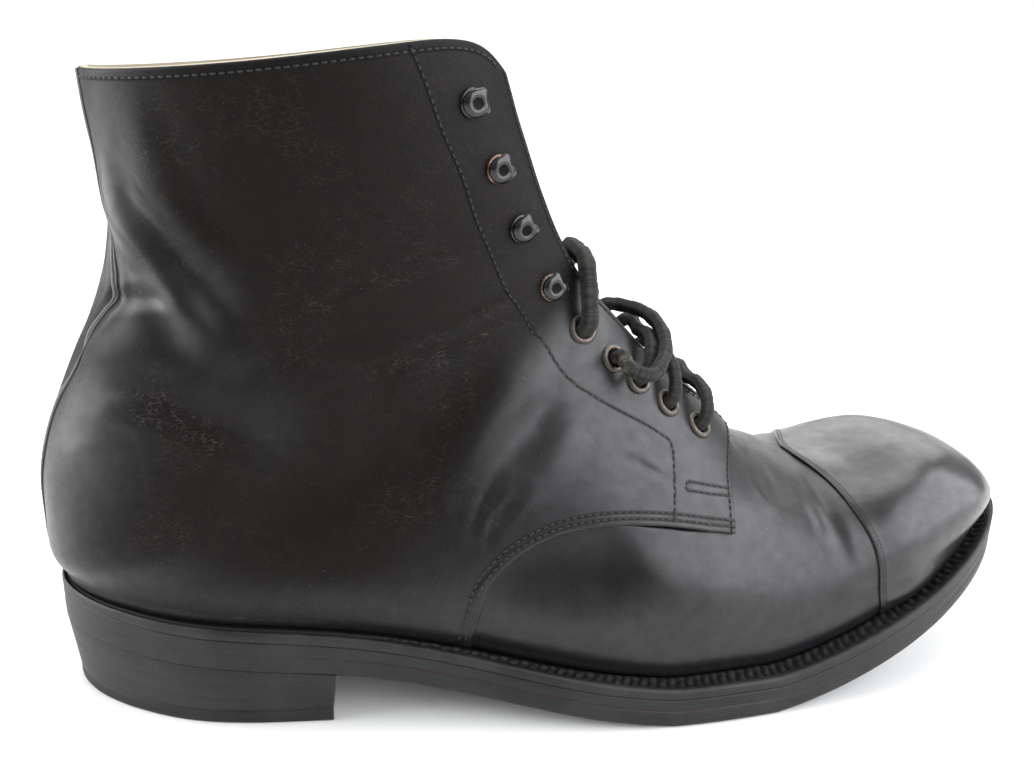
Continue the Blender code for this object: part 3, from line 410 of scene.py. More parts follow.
def netFaces(rows, columns, base=0, flip=False, closed=False):
    index = base + np.arange(rows * columns).reshape(rows, columns)
    if closed:
        index = np.concatenate([index, index[:, :1]], 1)
    a, b, c, d = index[:-1, :-1], index[1:, :-1], index[1:, 1:], index[:-1, 1:]
    quads = np.stack([a, b, c, d] if not flip else [a, d, c, b], -1)
    return quads.reshape(-1, 4)


class Piece:  # collects nets of points in the last's millimetres and makes one object of them
    def __init__(self, name):
        self.name, self.points, self.faces, self.looks, self.values, self.count = name, [], [], [], {}, 0

    def net(self, points, flip=False, closed=False, look=0, punched=None, **values):
        rows, columns = points.shape[:2]
        faces = netFaces(rows, columns, self.count, flip, closed)
        if punched is not None:
            faces = faces[~punched.ravel()[faces - self.count].all(1)]
        self.patch(points.reshape(-1, 3), faces, look, **{k: np.ravel(v) for k, v in values.items()})

    def patch(self, points, faces, look=0, **values):
        self.points.append(np.asarray(points, float))
        self.faces += [tuple(int(i) for i in face) for face in faces]
        self.looks += [look] * len(faces)
        for key in set(self.values) | set(values):
            kept = self.values.setdefault(key, [np.zeros(self.count)] if self.count else [])
            kept.append(np.broadcast_to(values.get(key, 0.0), len(points)))
        self.count += len(points)

    def build(self, looks, slot, replaced=(), weld=0.004):
        mesh = bpy.data.meshes.new(self.name)
        mesh.from_pydata(toFrame(np.concatenate(self.points)).tolist(), [], self.faces)
        for key, kept in self.values.items():
            layer = mesh.attributes.new(key, "FLOAT", "POINT")
            layer.data.foreach_set("value", np.concatenate(kept).astype(np.float32))
        mesh.polygons.foreach_set("material_index", np.array(self.looks, np.int32))
        if weld:
            bm = bmesh.new()
            bm.from_mesh(mesh)
            bmesh.ops.remove_doubles(bm, verts=bm.verts, dist=weld * mm)
            bmesh.ops.delete(bm, geom=[v for v in bm.verts if not v.link_faces], context="VERTS")
            bm.to_mesh(mesh)
            bm.free()
        mesh.shade_smooth()
        for look in looks:
            mesh.materials.append(look)
        piece = bpy.data.objects.new(self.name, mesh)
        bpy.context.scene.collection.objects.link(piece)
        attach(piece, "root")
        if replaced:
            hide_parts(*replaced)
        print(self.name, len(mesh.polygons), "faces")
        return piece


# Finishes

class Value:  # a number or colour on its way through a material's nodes
    def __init__(self, finish, socket):
        self.finish, self.socket = finish, socket

    def math(self, operation, first, second):
        return self.finish.add("ShaderNodeMath", {"operation": operation}, {0: first, 1: second})

    def __add__(self, other):
        return self.math("ADD", self, other)

    def __radd__(self, other):
        return self.math("ADD", other, self)

    def __sub__(self, other):
        return self.math("SUBTRACT", self, other)

    def __rsub__(self, other):
        return self.math("SUBTRACT", other, self)

    def __mul__(self, other):
        return self.math("MULTIPLY", self, other)

    def __rmul__(self, other):
        return self.math("MULTIPLY", other, self)

    def __truediv__(self, other):
        return self.math("DIVIDE", self, other)

    def __rtruediv__(self, other):
        return self.math("DIVIDE", other, self)


class Finish:
    def __init__(self, name, kind="materials", shader="Principled BSDF"):
        self.material = getattr(bpy.data, kind).new(name)
        self.material.use_nodes = True
        self.tree = self.material.node_tree
        self.shader = self.tree.nodes[shader]

    def add(self, kind, settings=None, inputs=None, output=0):
        node = self.tree.nodes.new(kind)
        for key, setting in (settings or {}).items():
            if key == "stops":
                ramp = node.color_ramp.elements
                while len(ramp) < len(setting):
                    ramp.new(0.5)
                for stop, (place, tone) in zip(ramp, setting):
                    stop.position = place
                    stop.color = (*tone, 1.0)
            else:
                setattr(node, key, setting)
        for key, value in (inputs or {}).items():
            self.feed(node.inputs[key], value)
        return Value(self, node.outputs[output])

    def feed(self, socket, value):
        if isinstance(value, Value):
            self.tree.links.new(value.socket, socket)
        elif isinstance(value, tuple) and len(value) == 3 and socket.type == "RGBA":
            socket.default_value = (*value, 1.0)
        else:
            socket.default_value = value

    def set(self, **sockets):  # names of the shader's sockets, in camelCase
        for name, value in sockets.items():
            words = "".join(" " + c if c.isupper() else c for c in name).replace(" I O R ", " IOR ")
            self.feed(self.shader.inputs[words[:1].upper() + words[1:]], value)
        return self.material

    def place(self, stretch=(1.0, 1.0, 1.0)):  # the boot's own coordinates, in millimetres
        spot = self.add("ShaderNodeTexCoord", output="Object")
        scale = tuple(s / mm for s in stretch)
        return self.add("ShaderNodeVectorMath", {"operation": "MULTIPLY"}, {0: spot, 1: scale})

    def noise(self, place, size, detail=3.0, rough=0.55, warp=0.0):
        return self.add("ShaderNodeTexNoise", None, {
            "Vector": place, "Scale": 1.0 / size, "Detail": detail, "Roughness": rough, "Distortion": warp})

    def cells(self, place, size, feature="F1"):
        return self.add("ShaderNodeTexVoronoi", {"feature": feature}, {"Vector": place, "Scale": 1.0 / size})

    def shift(self, place, size, reach):  # bends a place to and fro, so that cells lose their straight edges
        inputs = {"Vector": place, "Scale": 1.0 / size, "Detail": 2.0}
        wander = self.add("ShaderNodeTexNoise", None, inputs, "Color")
        centred = self.add("ShaderNodeVectorMath", {"operation": "SUBTRACT"}, {0: wander, 1: (0.5, 0.5, 0.5)})
        moved = self.add("ShaderNodeVectorMath", {"operation": "SCALE"}, {0: centred, "Scale": reach})
        return self.add("ShaderNodeVectorMath", {"operation": "ADD"}, {0: place, 1: moved})

    def value(self, name):
        return self.add("ShaderNodeAttribute", {"attribute_name": name}, None, "Fac")

    def between(self, value, low, high, start=0.0, end=1.0):
        return self.add("ShaderNodeMapRange", {"interpolation_type": "SMOOTHSTEP"}, {
            "Value": value, "From Min": low, "From Max": high, "To Min": start, "To Max": end})

    def mix(self, share, first, second):
        return self.add("ShaderNodeMix", {"data_type": "RGBA"}, {0: share, 6: first, 7: second}, 2)

    def bump(self, height, depth, under=None):  # depth in millimetres
        inputs = {"Height": height, "Strength": 1.0, "Distance": depth * mm}
        if under:
            inputs["Normal"] = under
        return self.add("ShaderNodeBump", None, inputs)


def leatherFinish(name, look):
    finish = Finish(name)
    spot = finish.place()
    cloud = finish.noise(spot, 26.0, 4.0)
    mottle = finish.noise(spot, 4.5, 5.0, 0.62)
    patch = finish.between(cloud, 0.42, 0.62)
    worn = finish.value("worn")  # 1 along creases
    dull = finish.value("dull")  # 0 where polished, 1 on the dull shaft
    drawn = finish.place((0.55, 0.55, 1.3))
    crack = finish.between(finish.cells(finish.shift(drawn, 5.0, 4.0), look["crackSize"], "DISTANCE_TO_EDGE"),
                           0.0, 0.06, 1.0, 0.0) * finish.between(mottle, 0.40, 0.62)
    hair = finish.between(finish.cells(finish.shift(drawn, 2.0, 2.2), look["hairSize"], "DISTANCE_TO_EDGE"),
                          0.0, 0.10, 1.0, 0.0) * finish.between(mottle, 0.62, 0.36)
    lines = (crack * 0.4 + hair * 0.5) * (patch * 0.6 + 0.4) * dull * look["crackle"] + hair * worn * 0.5
    dust = finish.between(finish.noise(spot, 0.5, 2.0, 0.5), 0.66, 0.75) * finish.between(mottle, 0.45, 0.7)
    scuff = finish.between(finish.noise(finish.place((0.5, 1.6, 1.0)), 1.7, 6.0, 0.7), 0.62, 0.80) * patch
    seam = finish.value("seam")  # distance from the nearest stitched line, in millimetres; down the band above the welt it gives the painted shade of the crevice
    # the groove darkens stitched lines, which are dark joints, and paints shade down the band above the welt
    groove = finish.between(seam, 0.0, 0.9, 1.0, 0.0) * finish.value("sewn")
    rim = finish.value("rim")  # 1 on a cut or rolled edge
    tone = finish.mix(dull, look["polished"], look["dull"])
    tone = finish.mix(finish.between(mottle, 0.35, 0.75) * 0.6, tone, look["deep"])
    tone = finish.mix(finish.between(lines, 0.05, 0.8) * look["lineShow"], tone, look["line"])
    tone = finish.mix(scuff * look["scuff"], tone, (0.055, 0.054, 0.054))
    tone = finish.mix(dust * 0.5, tone, (0.13, 0.13, 0.125))
    tone = finish.mix(groove * 0.7, tone, (0.003, 0.003, 0.003))
    tone = finish.mix(rim * 0.6, tone, look["edge"])
    rough = look["rough"] + (mottle - 0.5) * 0.18 + dull * 0.08 + lines * 0.12 + groove * 0.2
    coat = (1.0 - dull * look["dullCoat"]) * look["coat"] * (1.0 - groove * 0.8) * (1.0 - scuff * 0.4)
    coat = coat * finish.between(mottle, 0.2, 0.8, 1.1, 0.8)
    grain = finish.cells(finish.shift(spot, 1.5, 0.7), look["grainSize"])
    pores = finish.noise(spot, 0.4, 3.0, 0.6)
    wrinkle = finish.noise(finish.place((0.45, 0.45, 1.5)), 2.4, 5.0, 0.62, 1.4)
    skin = finish.bump(grain * 0.5 + pores * 0.6, look["grain"])
    skin = finish.bump(wrinkle * (dull * 0.7 + 0.3), look["wrinkle"], skin)
    furrow = (crack * 0.35 + hair * 0.8) * (patch * 0.6 + 0.4) * (dull * 0.8 + worn * 0.6 + 0.08)
    skin = finish.bump(furrow * -1.0, look["crackDepth"], skin)
    skin = finish.bump(groove * -1.0, 0.28, skin)
    finish.set(specularIORLevel=look["specular"], coatRoughness=look["coatRough"])
    return finish.set(baseColor=tone, roughness=rough, normal=skin, coatWeight=coat)


leatherLooks = dict(
    polished=(0.0070, 0.0070, 0.0082), dull=(0.0046, 0.0036, 0.0027), deep=(0.0030, 0.0027, 0.0025),
    line=(0.036, 0.033, 0.030), edge=(0.008, 0.008, 0.008), lineShow=0.85, scuff=0.35,
    crackSize=3.4, hairSize=1.2, crackle=0.9, crackDepth=0.12, grainSize=0.8, grain=0.045, wrinkle=0.17,
    rough=0.46, specular=0.09, coat=0.70, dullCoat=0.92, coatRough=0.34,
)
quarterLeather = leatherFinish("quarter leather", leatherLooks)
vampLeather = leatherFinish("vamp leather", {
    **leatherLooks, "grain": 0.036, "wrinkle": 0.12, "crackle": 0.1})
capLeather = leatherFinish("toe cap leather", {
    **leatherLooks, "grain": 0.020, "wrinkle": 0.04, "coat": 0.92, "coatRough": 0.30, "scuff": 0.25})
tongueLeather = leatherFinish("tongue leather", {**leatherLooks, "coat": 0.2, "grain": 0.05})


def liningFinish(name, tone, dirt):
    finish = Finish(name)
    spot = finish.place()
    cloud = finish.noise(spot, 16.0, 4.0)
    speck = finish.noise(spot, 1.2, 4.0, 0.7)
    colour = finish.mix(finish.between(cloud, 0.35, 0.75), tone, dirt)
    colour = finish.mix(finish.between(speck, 0.5, 0.8) * 0.4, colour, dirt)
    colour = finish.mix(finish.value("rim") * 0.8, colour, (0.30, 0.27, 0.20))
    return finish.set(baseColor=colour, roughness=0.62 + (speck - 0.5) * 0.2, normal=finish.bump(speck, 0.05))


liningLeather = liningFinish("lining leather", (0.46, 0.40, 0.28), (0.24, 0.19, 0.12))
insoleLeather = liningFinish("insole leather", (0.40, 0.29, 0.17), (0.15, 0.10, 0.06))

threadLook = Finish("waxed thread")
twist = threadLook.noise(threadLook.place(), 0.5, 2.0)
threadLook.set(baseColor=threadLook.mix(twist, (0.004, 0.004, 0.004), (0.014, 0.013, 0.012)), roughness=0.65)

# Upper: two quarters over the vamp, sewn at the back
quarter = dict(
    step=1.4,  # the quarters lie this far proud of the vamp
    wall=2.6,
    cornerLift=3.5,  # the loose corner of each facing stands off
    cornerAt=(9.0, 1.1, 1.32),  # its section and spread, and the way round where it lies down again
    skirtTuck=1.2,  # the band above the welt draws in by this
    seam=dict(pitch=2.1, thickness=1.0),
    roll=0.7,  # radius of the turned edges
    tuck=1.1,  # the vamp drops this far where the quarters cover it
    bead=0.55,  # the lining shows this far above the collar's edge
    corner=3,  # the edge's table turns the corner of the facing at this row
    edge=[  # way round, section: down the facing's front, then back along the lower edge to the welt
        (1.00, 8.62), (1.11, 8.68), (1.28, 8.80), (1.51, 8.80), (1.54, 10.45), (1.58, 10.92), (1.62, 11.14),
        (1.66, 11.25), (1.72, 11.32), (1.78, 11.32), (1.85, 11.24), (2.00, 11.03),
    ],
    topline=[
        (1.00, 23.00), (1.03, 23.45), (1.06, 23.70), (1.10, 23.84), (1.22, 23.89), (1.50, 23.78),
        (2.00, 23.87),
    ],
    dullFrom=[  # way round, section
        (1.0, 15.2), (1.12, 14.4), (1.26, 13.4), (1.41, 12.6), (1.59, 11.9), (2.0, 11.6),
    ],
    polish=[  # section, way round, their spreads, and how polished the dull leather is there
        (21.9, 1.89, 1.5, 0.10, 0.80), (20.2, 1.75, 0.6, 0.08, 0.85), (19.4, 1.66, 0.8, 0.06, 0.90),
        (17.9, 1.58, 0.7, 0.06, 0.40), (16.4, 1.52, 1.0, 0.05, 0.30), (17.3, 1.82, 1.1, 0.09, 0.90),
        (16.0, 1.91, 1.6, 0.09, 0.95), (14.6, 1.91, 1.0, 0.07, 0.70), (13.3, 1.94, 1.2, 0.05, 0.45),
        (12.0, 1.92, 0.8, 0.06, 0.50),
    ],
    columns={outer: 190, inner: 96},
    rows=(96, 120),  # from the edge to the heel's section, and on to the collar
)


def quarterHeight(row, around):
    section, spread, end = quarter["cornerAt"]
    corner = np.exp(-((row - section) / spread) ** 2) * (1.0 - ease(1.0, end, around))
    return quarter["step"] + quarter["cornerLift"] * corner


def fineEnds(count, first=True, final=True):  # even steps from 0 to 1, closer together at turned edges
    near = np.array([0.0, 0.0006, 0.0016, 0.0032, 0.0055, 0.009])
    steps = np.linspace(near[-1] if first else 0.0, 1.0 - near[-1] if final else 1.0, count)
    if first:
        steps = np.concatenate([near[:-1], steps])
    if final:
        steps = np.concatenate([steps, 1.0 - near[-2::-1]])
    return steps


edgeTable = np.array(quarter["edge"])[:, ::-1]  # section, way round
frontEdge = smoothPath(edgeTable[:quarter["corner"] + 1], 80)
lowerEdge = smoothPath(edgeTable[quarter["corner"]:], 200)
edgeLine = np.concatenate([frontEdge, lowerEdge[1:]])
edgeLength = np.concatenate([[0.0], np.cumsum(np.linalg.norm(
    np.diff(lastPoint(edgeLine[:, 0], edgeLine[:, 1], outer), axis=0), axis=1))])
topTable = np.array(quarter["topline"])


def waysRound(top, rest, end=2.0):  # from the ridge to the facing's line, and on to the end
    return np.concatenate([np.linspace(0.0, 1.0, top)[:-1], np.linspace(1.0, end, rest)])


def quarterNet(wide, tall, fine=True):  # sections and ways round over a whole quarter
    u = fineEnds(wide, fine, False)
    low, high = [fineEnds(n, a and fine, b and fine) for n, a, b in ((tall[0], 1, 0), (tall[1], 0, 1))]
    at = u * edgeLength[-1]
    edgeRow = np.interp(at, edgeLength, edgeLine[:, 0])
    edgeAround = np.interp(at, edgeLength, edgeLine[:, 1])
    across = 1.0 + u
    top = smoothCurve(topTable[:, 0], topTable[:, 1])(across)
    first = np.stack([edgeRow, edgeAround], -1)
    heel = np.stack([np.full_like(u, last["heelRow"]), across], -1)
    collar = np.stack([top, across], -1)
    lower = first + (heel - first) * low[:, None, None]
    upper = heel + (collar - heel) * high[1:, None, None]
    return np.concatenate([lower, upper])


def shiftPath(path, side, distance):  # moves a line of (section, way round) sideways over the leather
    path = np.asarray(path, float)
    point, normal = lastPoint(path[:, 0], path[:, 1], side), lastNormal(path[:, 0], path[:, 1], side)
    tangent = np.gradient(point, axis=0)
    tangent /= np.linalg.norm(tangent, axis=1, keepdims=True)
    sideways = np.cross(normal, tangent) * side
    rowStep = (lastPoint(path[:, 0] + 0.05, path[:, 1], side) - point) / 0.05
    aroundStep = (lastPoint(path[:, 0], np.minimum(path[:, 1] + 0.01, 2.0), side) - point) / 0.01
    moved = path.copy()
    for i in range(len(path)):
        steps = np.stack([rowStep[i], aroundStep[i]], 1)
        moved[i] += np.linalg.lstsq(steps, sideways[i] * distance, rcond=None)[0]
    return moved


# Stitched lines on the leather, each a path of (section, way round)
eyestay = [
    (23.80, 1.22), (23.12, 1.21), (22.18, 1.20), (21.11, 1.18), (19.70, 1.16), (18.31, 1.14), (16.90, 1.13),
    (15.50, 1.12), (14.19, 1.14), (13.02, 1.18), (12.12, 1.21), (11.29, 1.23), (10.75, 1.24), (10.42, 1.25),
    (10.16, 1.29), (10.05, 1.36), (9.95, 1.43), (9.88, 1.50),
]
capEdge = [  # way round, section
    (0.00, 7.10), (1.00, 7.02), (1.10, 6.90), (1.25, 6.72), (1.41, 6.54), (1.55, 6.37), (1.67, 6.23),
    (1.78, 6.13), (2.00, 6.00),
]
capTable = np.array(capEdge)
ridgeShare = 0.07  # from the ridge to the facing's line, as a share of the rest


def capRow(around):  # section of the cap's edge
    def spread(at):
        return np.where(at < 1.0, at * ridgeShare, at - 1.0 + ridgeShare)
    return smoothCurve(spread(capTable[:, 0]), capTable[:, 1])(spread(np.asarray(around, float)))


seamInset = dict(lower=(1.9, 3.7), facing=1.7, top=2.2, cap=(1.0, 2.0))
farFromSeams = 9.0  # distance written where a mesh has no stitching
topRun = np.linspace(1.02, 1.995, 120)
topPath = np.stack([smoothCurve(topTable[:, 0], topTable[:, 1])(topRun), topRun], 1)
facingRun = np.linspace(8.75, 23.1, 160)
facingPath = np.stack([facingRun, np.full(160, 1.0)], 1)
capRun = np.concatenate([np.linspace(0.0, 1.0, 14), np.linspace(1.02, 1.99, 70)])
capPath = np.stack([capRow(capRun), capRun], 1)
barPaths = [[(9.80, 1.365), (8.90, 1.345)], [(9.80, 1.395), (8.90, 1.375)], [(9.80, 1.365), (9.80, 1.395)]]


def quarterSeams(side):
    front = evenPath(frontEdge, 40)
    lines = [shiftPath(lowerEdge, side, d) for d in seamInset["lower"]]
    lines.append(shiftPath(front, side, seamInset["facing"])[2:])
    lines.append(smoothPath(eyestay, 160))
    lines.append(shiftPath(topPath, side, -seamInset["top"]))
    lines.append(shiftPath(facingPath, side, -seamInset["facing"])[1:])
    lines += [evenPath(np.array(path), 12) for path in barPaths]
    return lines


def capSeams(side):
    step = np.linalg.norm(lastPoint(capPath[:, 0] + 0.05, capPath[:, 1], side)
                          - lastPoint(capPath[:, 0] - 0.05, capPath[:, 1], side), axis=1) / 0.1
    return [capPath - np.stack([d / step, np.zeros(len(step))], 1) for d in seamInset["cap"]]


def trimmed(paths):  # without the places that left the leather
    kept = []
    for path in paths:
        inside = (path[:, 1] >= 0.0) & (path[:, 1] <= 2.0) & (path[:, 0] < last["collarRow"])
        kept.append(path[inside])
    return kept


def seamDistance(points, paths, side):  # distance from the nearest stitched line
    gap = np.full(len(points), farFromSeams)
    for path in paths:
        gap = np.minimum(gap, lineDistance(points, lastPoint(path[:, 0], path[:, 1], side))[0])
    return gap


def flare(row, around):  # the leather of the forepart is drawn out a little where it meets the welt
    forepart = ease(11.0, 9.0, row) * ease(0.0, 0.6, row)
    return last["flare"] * ease(last["flareFrom"], 2.0, around) ** 1.5 * forepart


def quarterSurface(row, around, side):
    point, normal = skinFrame(row, around, side)
    extra, worn = relief(point, "quarter")
    return point, normal, quarterHeight(row, around) + extra, worn


def vampSurface(row, around, side):
    point, normal = skinFrame(row, around, side)
    extra, worn = relief(point, "vamp")
    pastCap = np.asarray(row) - capRow(around)
    shown = ease(-0.6, -0.2, pastCap)
    covered = ease(0.3, 0.9, np.asarray(row) - np.interp(around, edgeTable[:, 1], edgeTable[:, 0]))
    height = extra * shown * (1.0 - covered) - quarter["tuck"] * covered
    height = height + flare(row, around) - cap["sink"] * ease(0.2, 0.9, -pastCap)
    return point, normal, height, worn


cap = dict(
    wall=1.3,
    seat=0.3,
    edge=0.8,  # skived to this at its edge
    roll=0.5,
    sink=2.0,  # the vamp drops this far under the cap
    skirtTuck=0.8,
    columns={outer: 110, inner: 80},
    rows=100,
    seam=dict(pitch=1.2, thickness=0.45),
)


def capSurface(row, around, side):
    point, normal = skinFrame(row, around, side)
    extra, worn = relief(point, "cap")
    toEdge = capRow(around) - np.asarray(row)
    skived = cap["edge"] + (cap["wall"] + cap["seat"] - cap["edge"]) * ease(0.0, 0.7, toEdge)
    return point, normal, skived + flare(row, around) + extra * ease(0.0, 0.8, toEdge), worn


def rolled(height, away, radius):  # an edge that turns down within its radius
    t = np.clip(1.0 - away / radius, 0.0, 1.0)
    return height - radius * (1.0 - np.sqrt(np.maximum(1.0 - t * t, 0.0)))


def skirtNet(line, tuck):  # the band from the feather line down to the welt, tucked under
    low = line.copy()
    low[:, 2] = weltTop(low[:, 0]) + 0.1
    inward = np.zeros_like(line)
    inward[:, 1] = -np.sign(line[:, 1] - feather(line[:, 0])[0])
    rows = []
    for share in (0.0, 0.35, 0.7, 1.0):
        rows.append(line + (low - line) * share + inward * tuck * share ** 2)
    return np.stack(rows)


def paintedCreviceShade(net):  # painted shade: the leather is painted darker toward the welt, where the crevice over the welt lies in shade, like the groove of a seam
    return np.broadcast_to(np.array(last["crevice"])[:, None], net.shape[:2])


# Places and forms of the eyelets and hooks
fasteners = dict(
    eyelets=[  # section, setback from the facing's edge, climb of its lace
        (9.64, 13.5, 0.2), (10.52, 13.5, 0.5), (11.41, 13.3, 0.4), (12.25, 12.6, 0.0), (13.72, 12.5, 2.3),
    ],
    hooks=[(16.09, 11.5), (18.72, 12.0), (20.81, 13.5), (22.49, 16.0)],
    eyeletForm=[  # radius, height, worn to bare brass
        (2.70, -3.4, 0.2), (2.65, 0.1, 0.3), (2.75, 0.55, 0.75), (3.05, 0.85, 1.0), (3.5, 0.95, 0.75),
        (3.95, 0.8, 0.45), (4.3, 0.45, 0.3), (4.45, 0.1, 0.2), (4.4, -0.3, 0.0),
    ],
    backForm=[(2.75, 0.2, 0.0), (2.75, -0.6, 0.3), (3.1, -0.9, 0.8), (3.8, -0.7, 0.6), (4.1, -0.1, 0.3)],
    hookFoot=[  # radius, height, worn
        (0.0, 0.5, 0.0), (2.7, 0.55, 0.1), (3.3, 0.5, 0.6), (3.75, 0.35, 1.0), (3.95, 0.05, 1.0),
        (3.85, -0.5, 0.5),
    ],
    hookLip=[  # share of the outline's reach, height: a low dome with a rolled rim
        (0.00, 2.00), (0.25, 2.02), (0.42, 2.06), (0.55, 2.25), (0.68, 2.22), (0.80, 2.02), (0.90, 1.78),
        (0.98, 1.50), (1.00, 1.25), (0.96, 1.05), (0.86, 1.00), (0.60, 1.15), (0.30, 1.20), (0.00, 1.20),
    ],
    hookWear=(0.75, 0.3, 0.95, 0.35),  # bare copper on each hook's foot, from the lowest up
    hookReach=3.7,
    hookEars=(0.75, 44.0, 18.0),  # two points toward the throat: extra reach, angle and spread
    hookNeck=(0.75, 22.0),  # hollow between them
    hookTurn=(12.0, 22.0, 16.0, 6.0),  # the hollow side is turned up by this angle, from the lowest up
    hookTilt=(11.0, 0.3),  # lean of the lip away from the throat, and its lift
    hookStem=[(1.95, 0.4, 0.0), (1.5, 0.9, 0.0), (1.5, 1.3, 0.0), (1.65, 1.7, 0.0)],  # radius, height, worn
    hookStemAt=1.7,  # place toward the throat
    punch=(3.3, 3.5),  # holes in the leather and in the lining
    sides=48,
)


def seatFrame(section, setback, side, height=0.0):  # place on a facing: x to the throat, z out of the leather
    rowArray = np.array([float(section)])
    total = halfSections(rowArray, side)[1][0, -1]
    around = 1.0 + setback / (total - float(facingGap(rowArray)[0]))
    rows = section + np.array([0.0, 0.0, 0.0, 0.06, -0.06])
    arounds = around + np.array([0.0, -0.02, 0.02, 0.0, 0.0])
    point, normal = skinFrame(rows, arounds, side)
    origin, ahead, behind, above, below = point + normal * quarterHeight(rows, arounds)[:, None]
    out = np.cross(ahead - behind, above - below)
    out = out * np.sign(np.dot(out, normal[0])) / np.linalg.norm(out)
    toward = ahead - behind
    toward = toward - out * np.dot(toward, out)
    toward = toward / np.linalg.norm(toward)
    return origin + out * height, np.stack([toward, np.cross(out, toward), out])


def punched(points, side, radius):  # which points lie in an eyelet's hole
    inside = np.zeros(points.shape[:-1], bool)
    for section, setback, _ in fasteners["eyelets"]:
        origin, axes = seatFrame(section, setback, side)
        local = (points - origin) @ axes.T
        inside |= (np.hypot(local[..., 0], local[..., 1]) < radius) & (np.abs(local[..., 2]) < 8.0)
    return inside


vamp = dict(
    past=0.5,  # sections past the throat, and further under the quarters
    under=2.85,
    skirtTuck=0.8,
    columns={outer: 110, inner: 80},
    hidden=0.45,  # share of its length that the toe cap hides, with rows further apart
    rows={outer: (30, 130), inner: (20, 86)},
    hollow=(10.5, 1.71, 0.9, 0.09, 0.8),  # dull hollow: section, way round, their spreads, and how dull
)


def vampBack(around):  # the vamp ends at the throat, and well under the quarters beside it
    return last["throat"] + vamp["past"] + vamp["under"] * ease(1.0, 1.6, around)


def softSpot(row, around, spotRow, spotAround, rowSpread, aroundSpread, amount):
    return amount * np.exp(-((row - spotRow) / rowSpread) ** 2 - ((around - spotAround) / aroundSpread) ** 2)


def softenHeel(points, row, around):  # evens out the leather where the counter's sections start
    weight = 0.5 * np.exp(-((row - last["heelRow"]) / 0.6) ** 2) * ease(2.0, 1.97, around)
    for _ in range(60):
        middle = (points[:-2] + points[2:]) / 2.0
        points[1:-1] += (middle - points[1:-1]) * weight[1:-1, :, None]
    return points


# The upper and its lining
liningSize = dict(columns=90, rows=(56, 60), clear=0.05, vampColumns=24, vampRows=40, vampDepth=2.4)
upperPiece = Piece("upper_leather")
liningPiece = Piece("lining")
seamLines = []  # surface, side, path, and the seam's settings
for side in (outer, inner):
    flip = side == outer
    net = quarterNet(quarter["columns"][side], quarter["rows"])
    row, around = net[..., 0], np.minimum(net[..., 1], 2.0)
    point, normal, height, worn = quarterSurface(row, around, side)
    flatPoint = point.reshape(-1, 3)
    boundary = np.concatenate([point[-1, ::-1], point[::-1, 0], point[0]])
    away = lineDistance(flatPoint, boundary)[0].reshape(row.shape)
    seams = trimmed(quarterSeams(side))
    seamLines += [(quarterSurface, side, path, quarter["seam"]) for path in seams]
    seamGap = seamDistance(flatPoint, seams, side)
    skin = softenHeel(point + normal * rolled(height, away, quarter["roll"])[..., None], row, around)
    dullFrom = np.interp(around, *np.array(quarter["dullFrom"]).T)
    dull = ease(-0.8, 0.8, row - dullFrom)
    for spot in quarter["polish"]:
        dull = dull * (1.0 - softSpot(row, around, *spot))
    upperPiece.net(skin, flip, punched=punched(skin, side, fasteners["punch"][0]), worn=worn, dull=dull,
                   seam=seamGap.reshape(row.shape), sewn=1.0, rim=1.0 - ease(0.3, 0.9, away))
    inside = point + normal * (height - quarter["wall"])[..., None]
    walls = np.stack([skin, inside])
    rim = np.concatenate([walls[:, -1, ::-1], walls[:, ::-1, 0], walls[:, 0]], 1)
    upperPiece.net(rim, flip, rim=1.0, seam=farFromSeams)
    foot = row[:, -1] <= last["heelRow"] + 1e-6
    net = skirtNet(skin[foot, -1], quarter["skirtTuck"])
    upperPiece.net(net, not flip, seam=paintedCreviceShade(net), sewn=1.0, dull=0.6)

    # Vamp from the toe to under the quarters
    u = waysRound(16, vamp["columns"][side])
    hiddenRows, shownRows = vamp["rows"][side]
    v = np.concatenate([np.linspace(0.0, vamp["hidden"], hiddenRows)[:-1],
                        np.linspace(vamp["hidden"], 1.0, shownRows)])
    row = vampBack(u)[None] * v[:, None]
    around = np.broadcast_to(u, row.shape)
    point, normal, height, worn = vampSurface(row, around, side)
    vampSkin = point + normal * height[..., None]
    hollow = softSpot(row, around, *vamp["hollow"])
    upperPiece.net(vampSkin, flip, look=1, worn=worn, seam=farFromSeams, dull=hollow)
    net = skirtNet(vampSkin[:, -1], vamp["skirtTuck"])
    upperPiece.net(net, not flip, look=1, seam=paintedCreviceShade(net), sewn=1.0)

    # Lining inside the quarters and the vamp
    bead = np.stack([skin[-1], (skin[-1] + inside[-1]) / 2.0, inside[-1]])
    crest = skin[-1] - skin[-2]
    crest = crest / np.maximum(np.linalg.norm(crest, axis=1, keepdims=True), 1e-9)
    bead = bead + crest * np.array([-0.1, quarter["bead"], 0.1])[:, None, None]
    liningPiece.net(bead[:, ::-1], flip, rim=1.0)
    net = quarterNet(liningSize["columns"], liningSize["rows"], False)
    row, around = net[..., 0], np.minimum(net[..., 1], 2.0)
    point, normal = skinFrame(row, around, side)
    depth = quarter["wall"] + liningSize["clear"]
    inside = point + normal * (quarterHeight(row, around) - depth)[..., None]
    liningPiece.net(inside, not flip, punched=punched(inside, side, fasteners["punch"][1]),
                    rim=ease(23.2, 23.8, row))
    u = waysRound(4, liningSize["vampColumns"])
    row = vampBack(u)[None] * np.linspace(0.0, 1.0, liningSize["vampRows"])[:, None]
    around = np.broadcast_to(u, row.shape)
    point, normal = skinFrame(row, around, side)
    liningPiece.net(point - normal * liningSize["vampDepth"], not flip)
upperPiece.build([quarterLeather, vampLeather], "upper", ["upper"])
liningPiece.build([liningLeather], "upper")

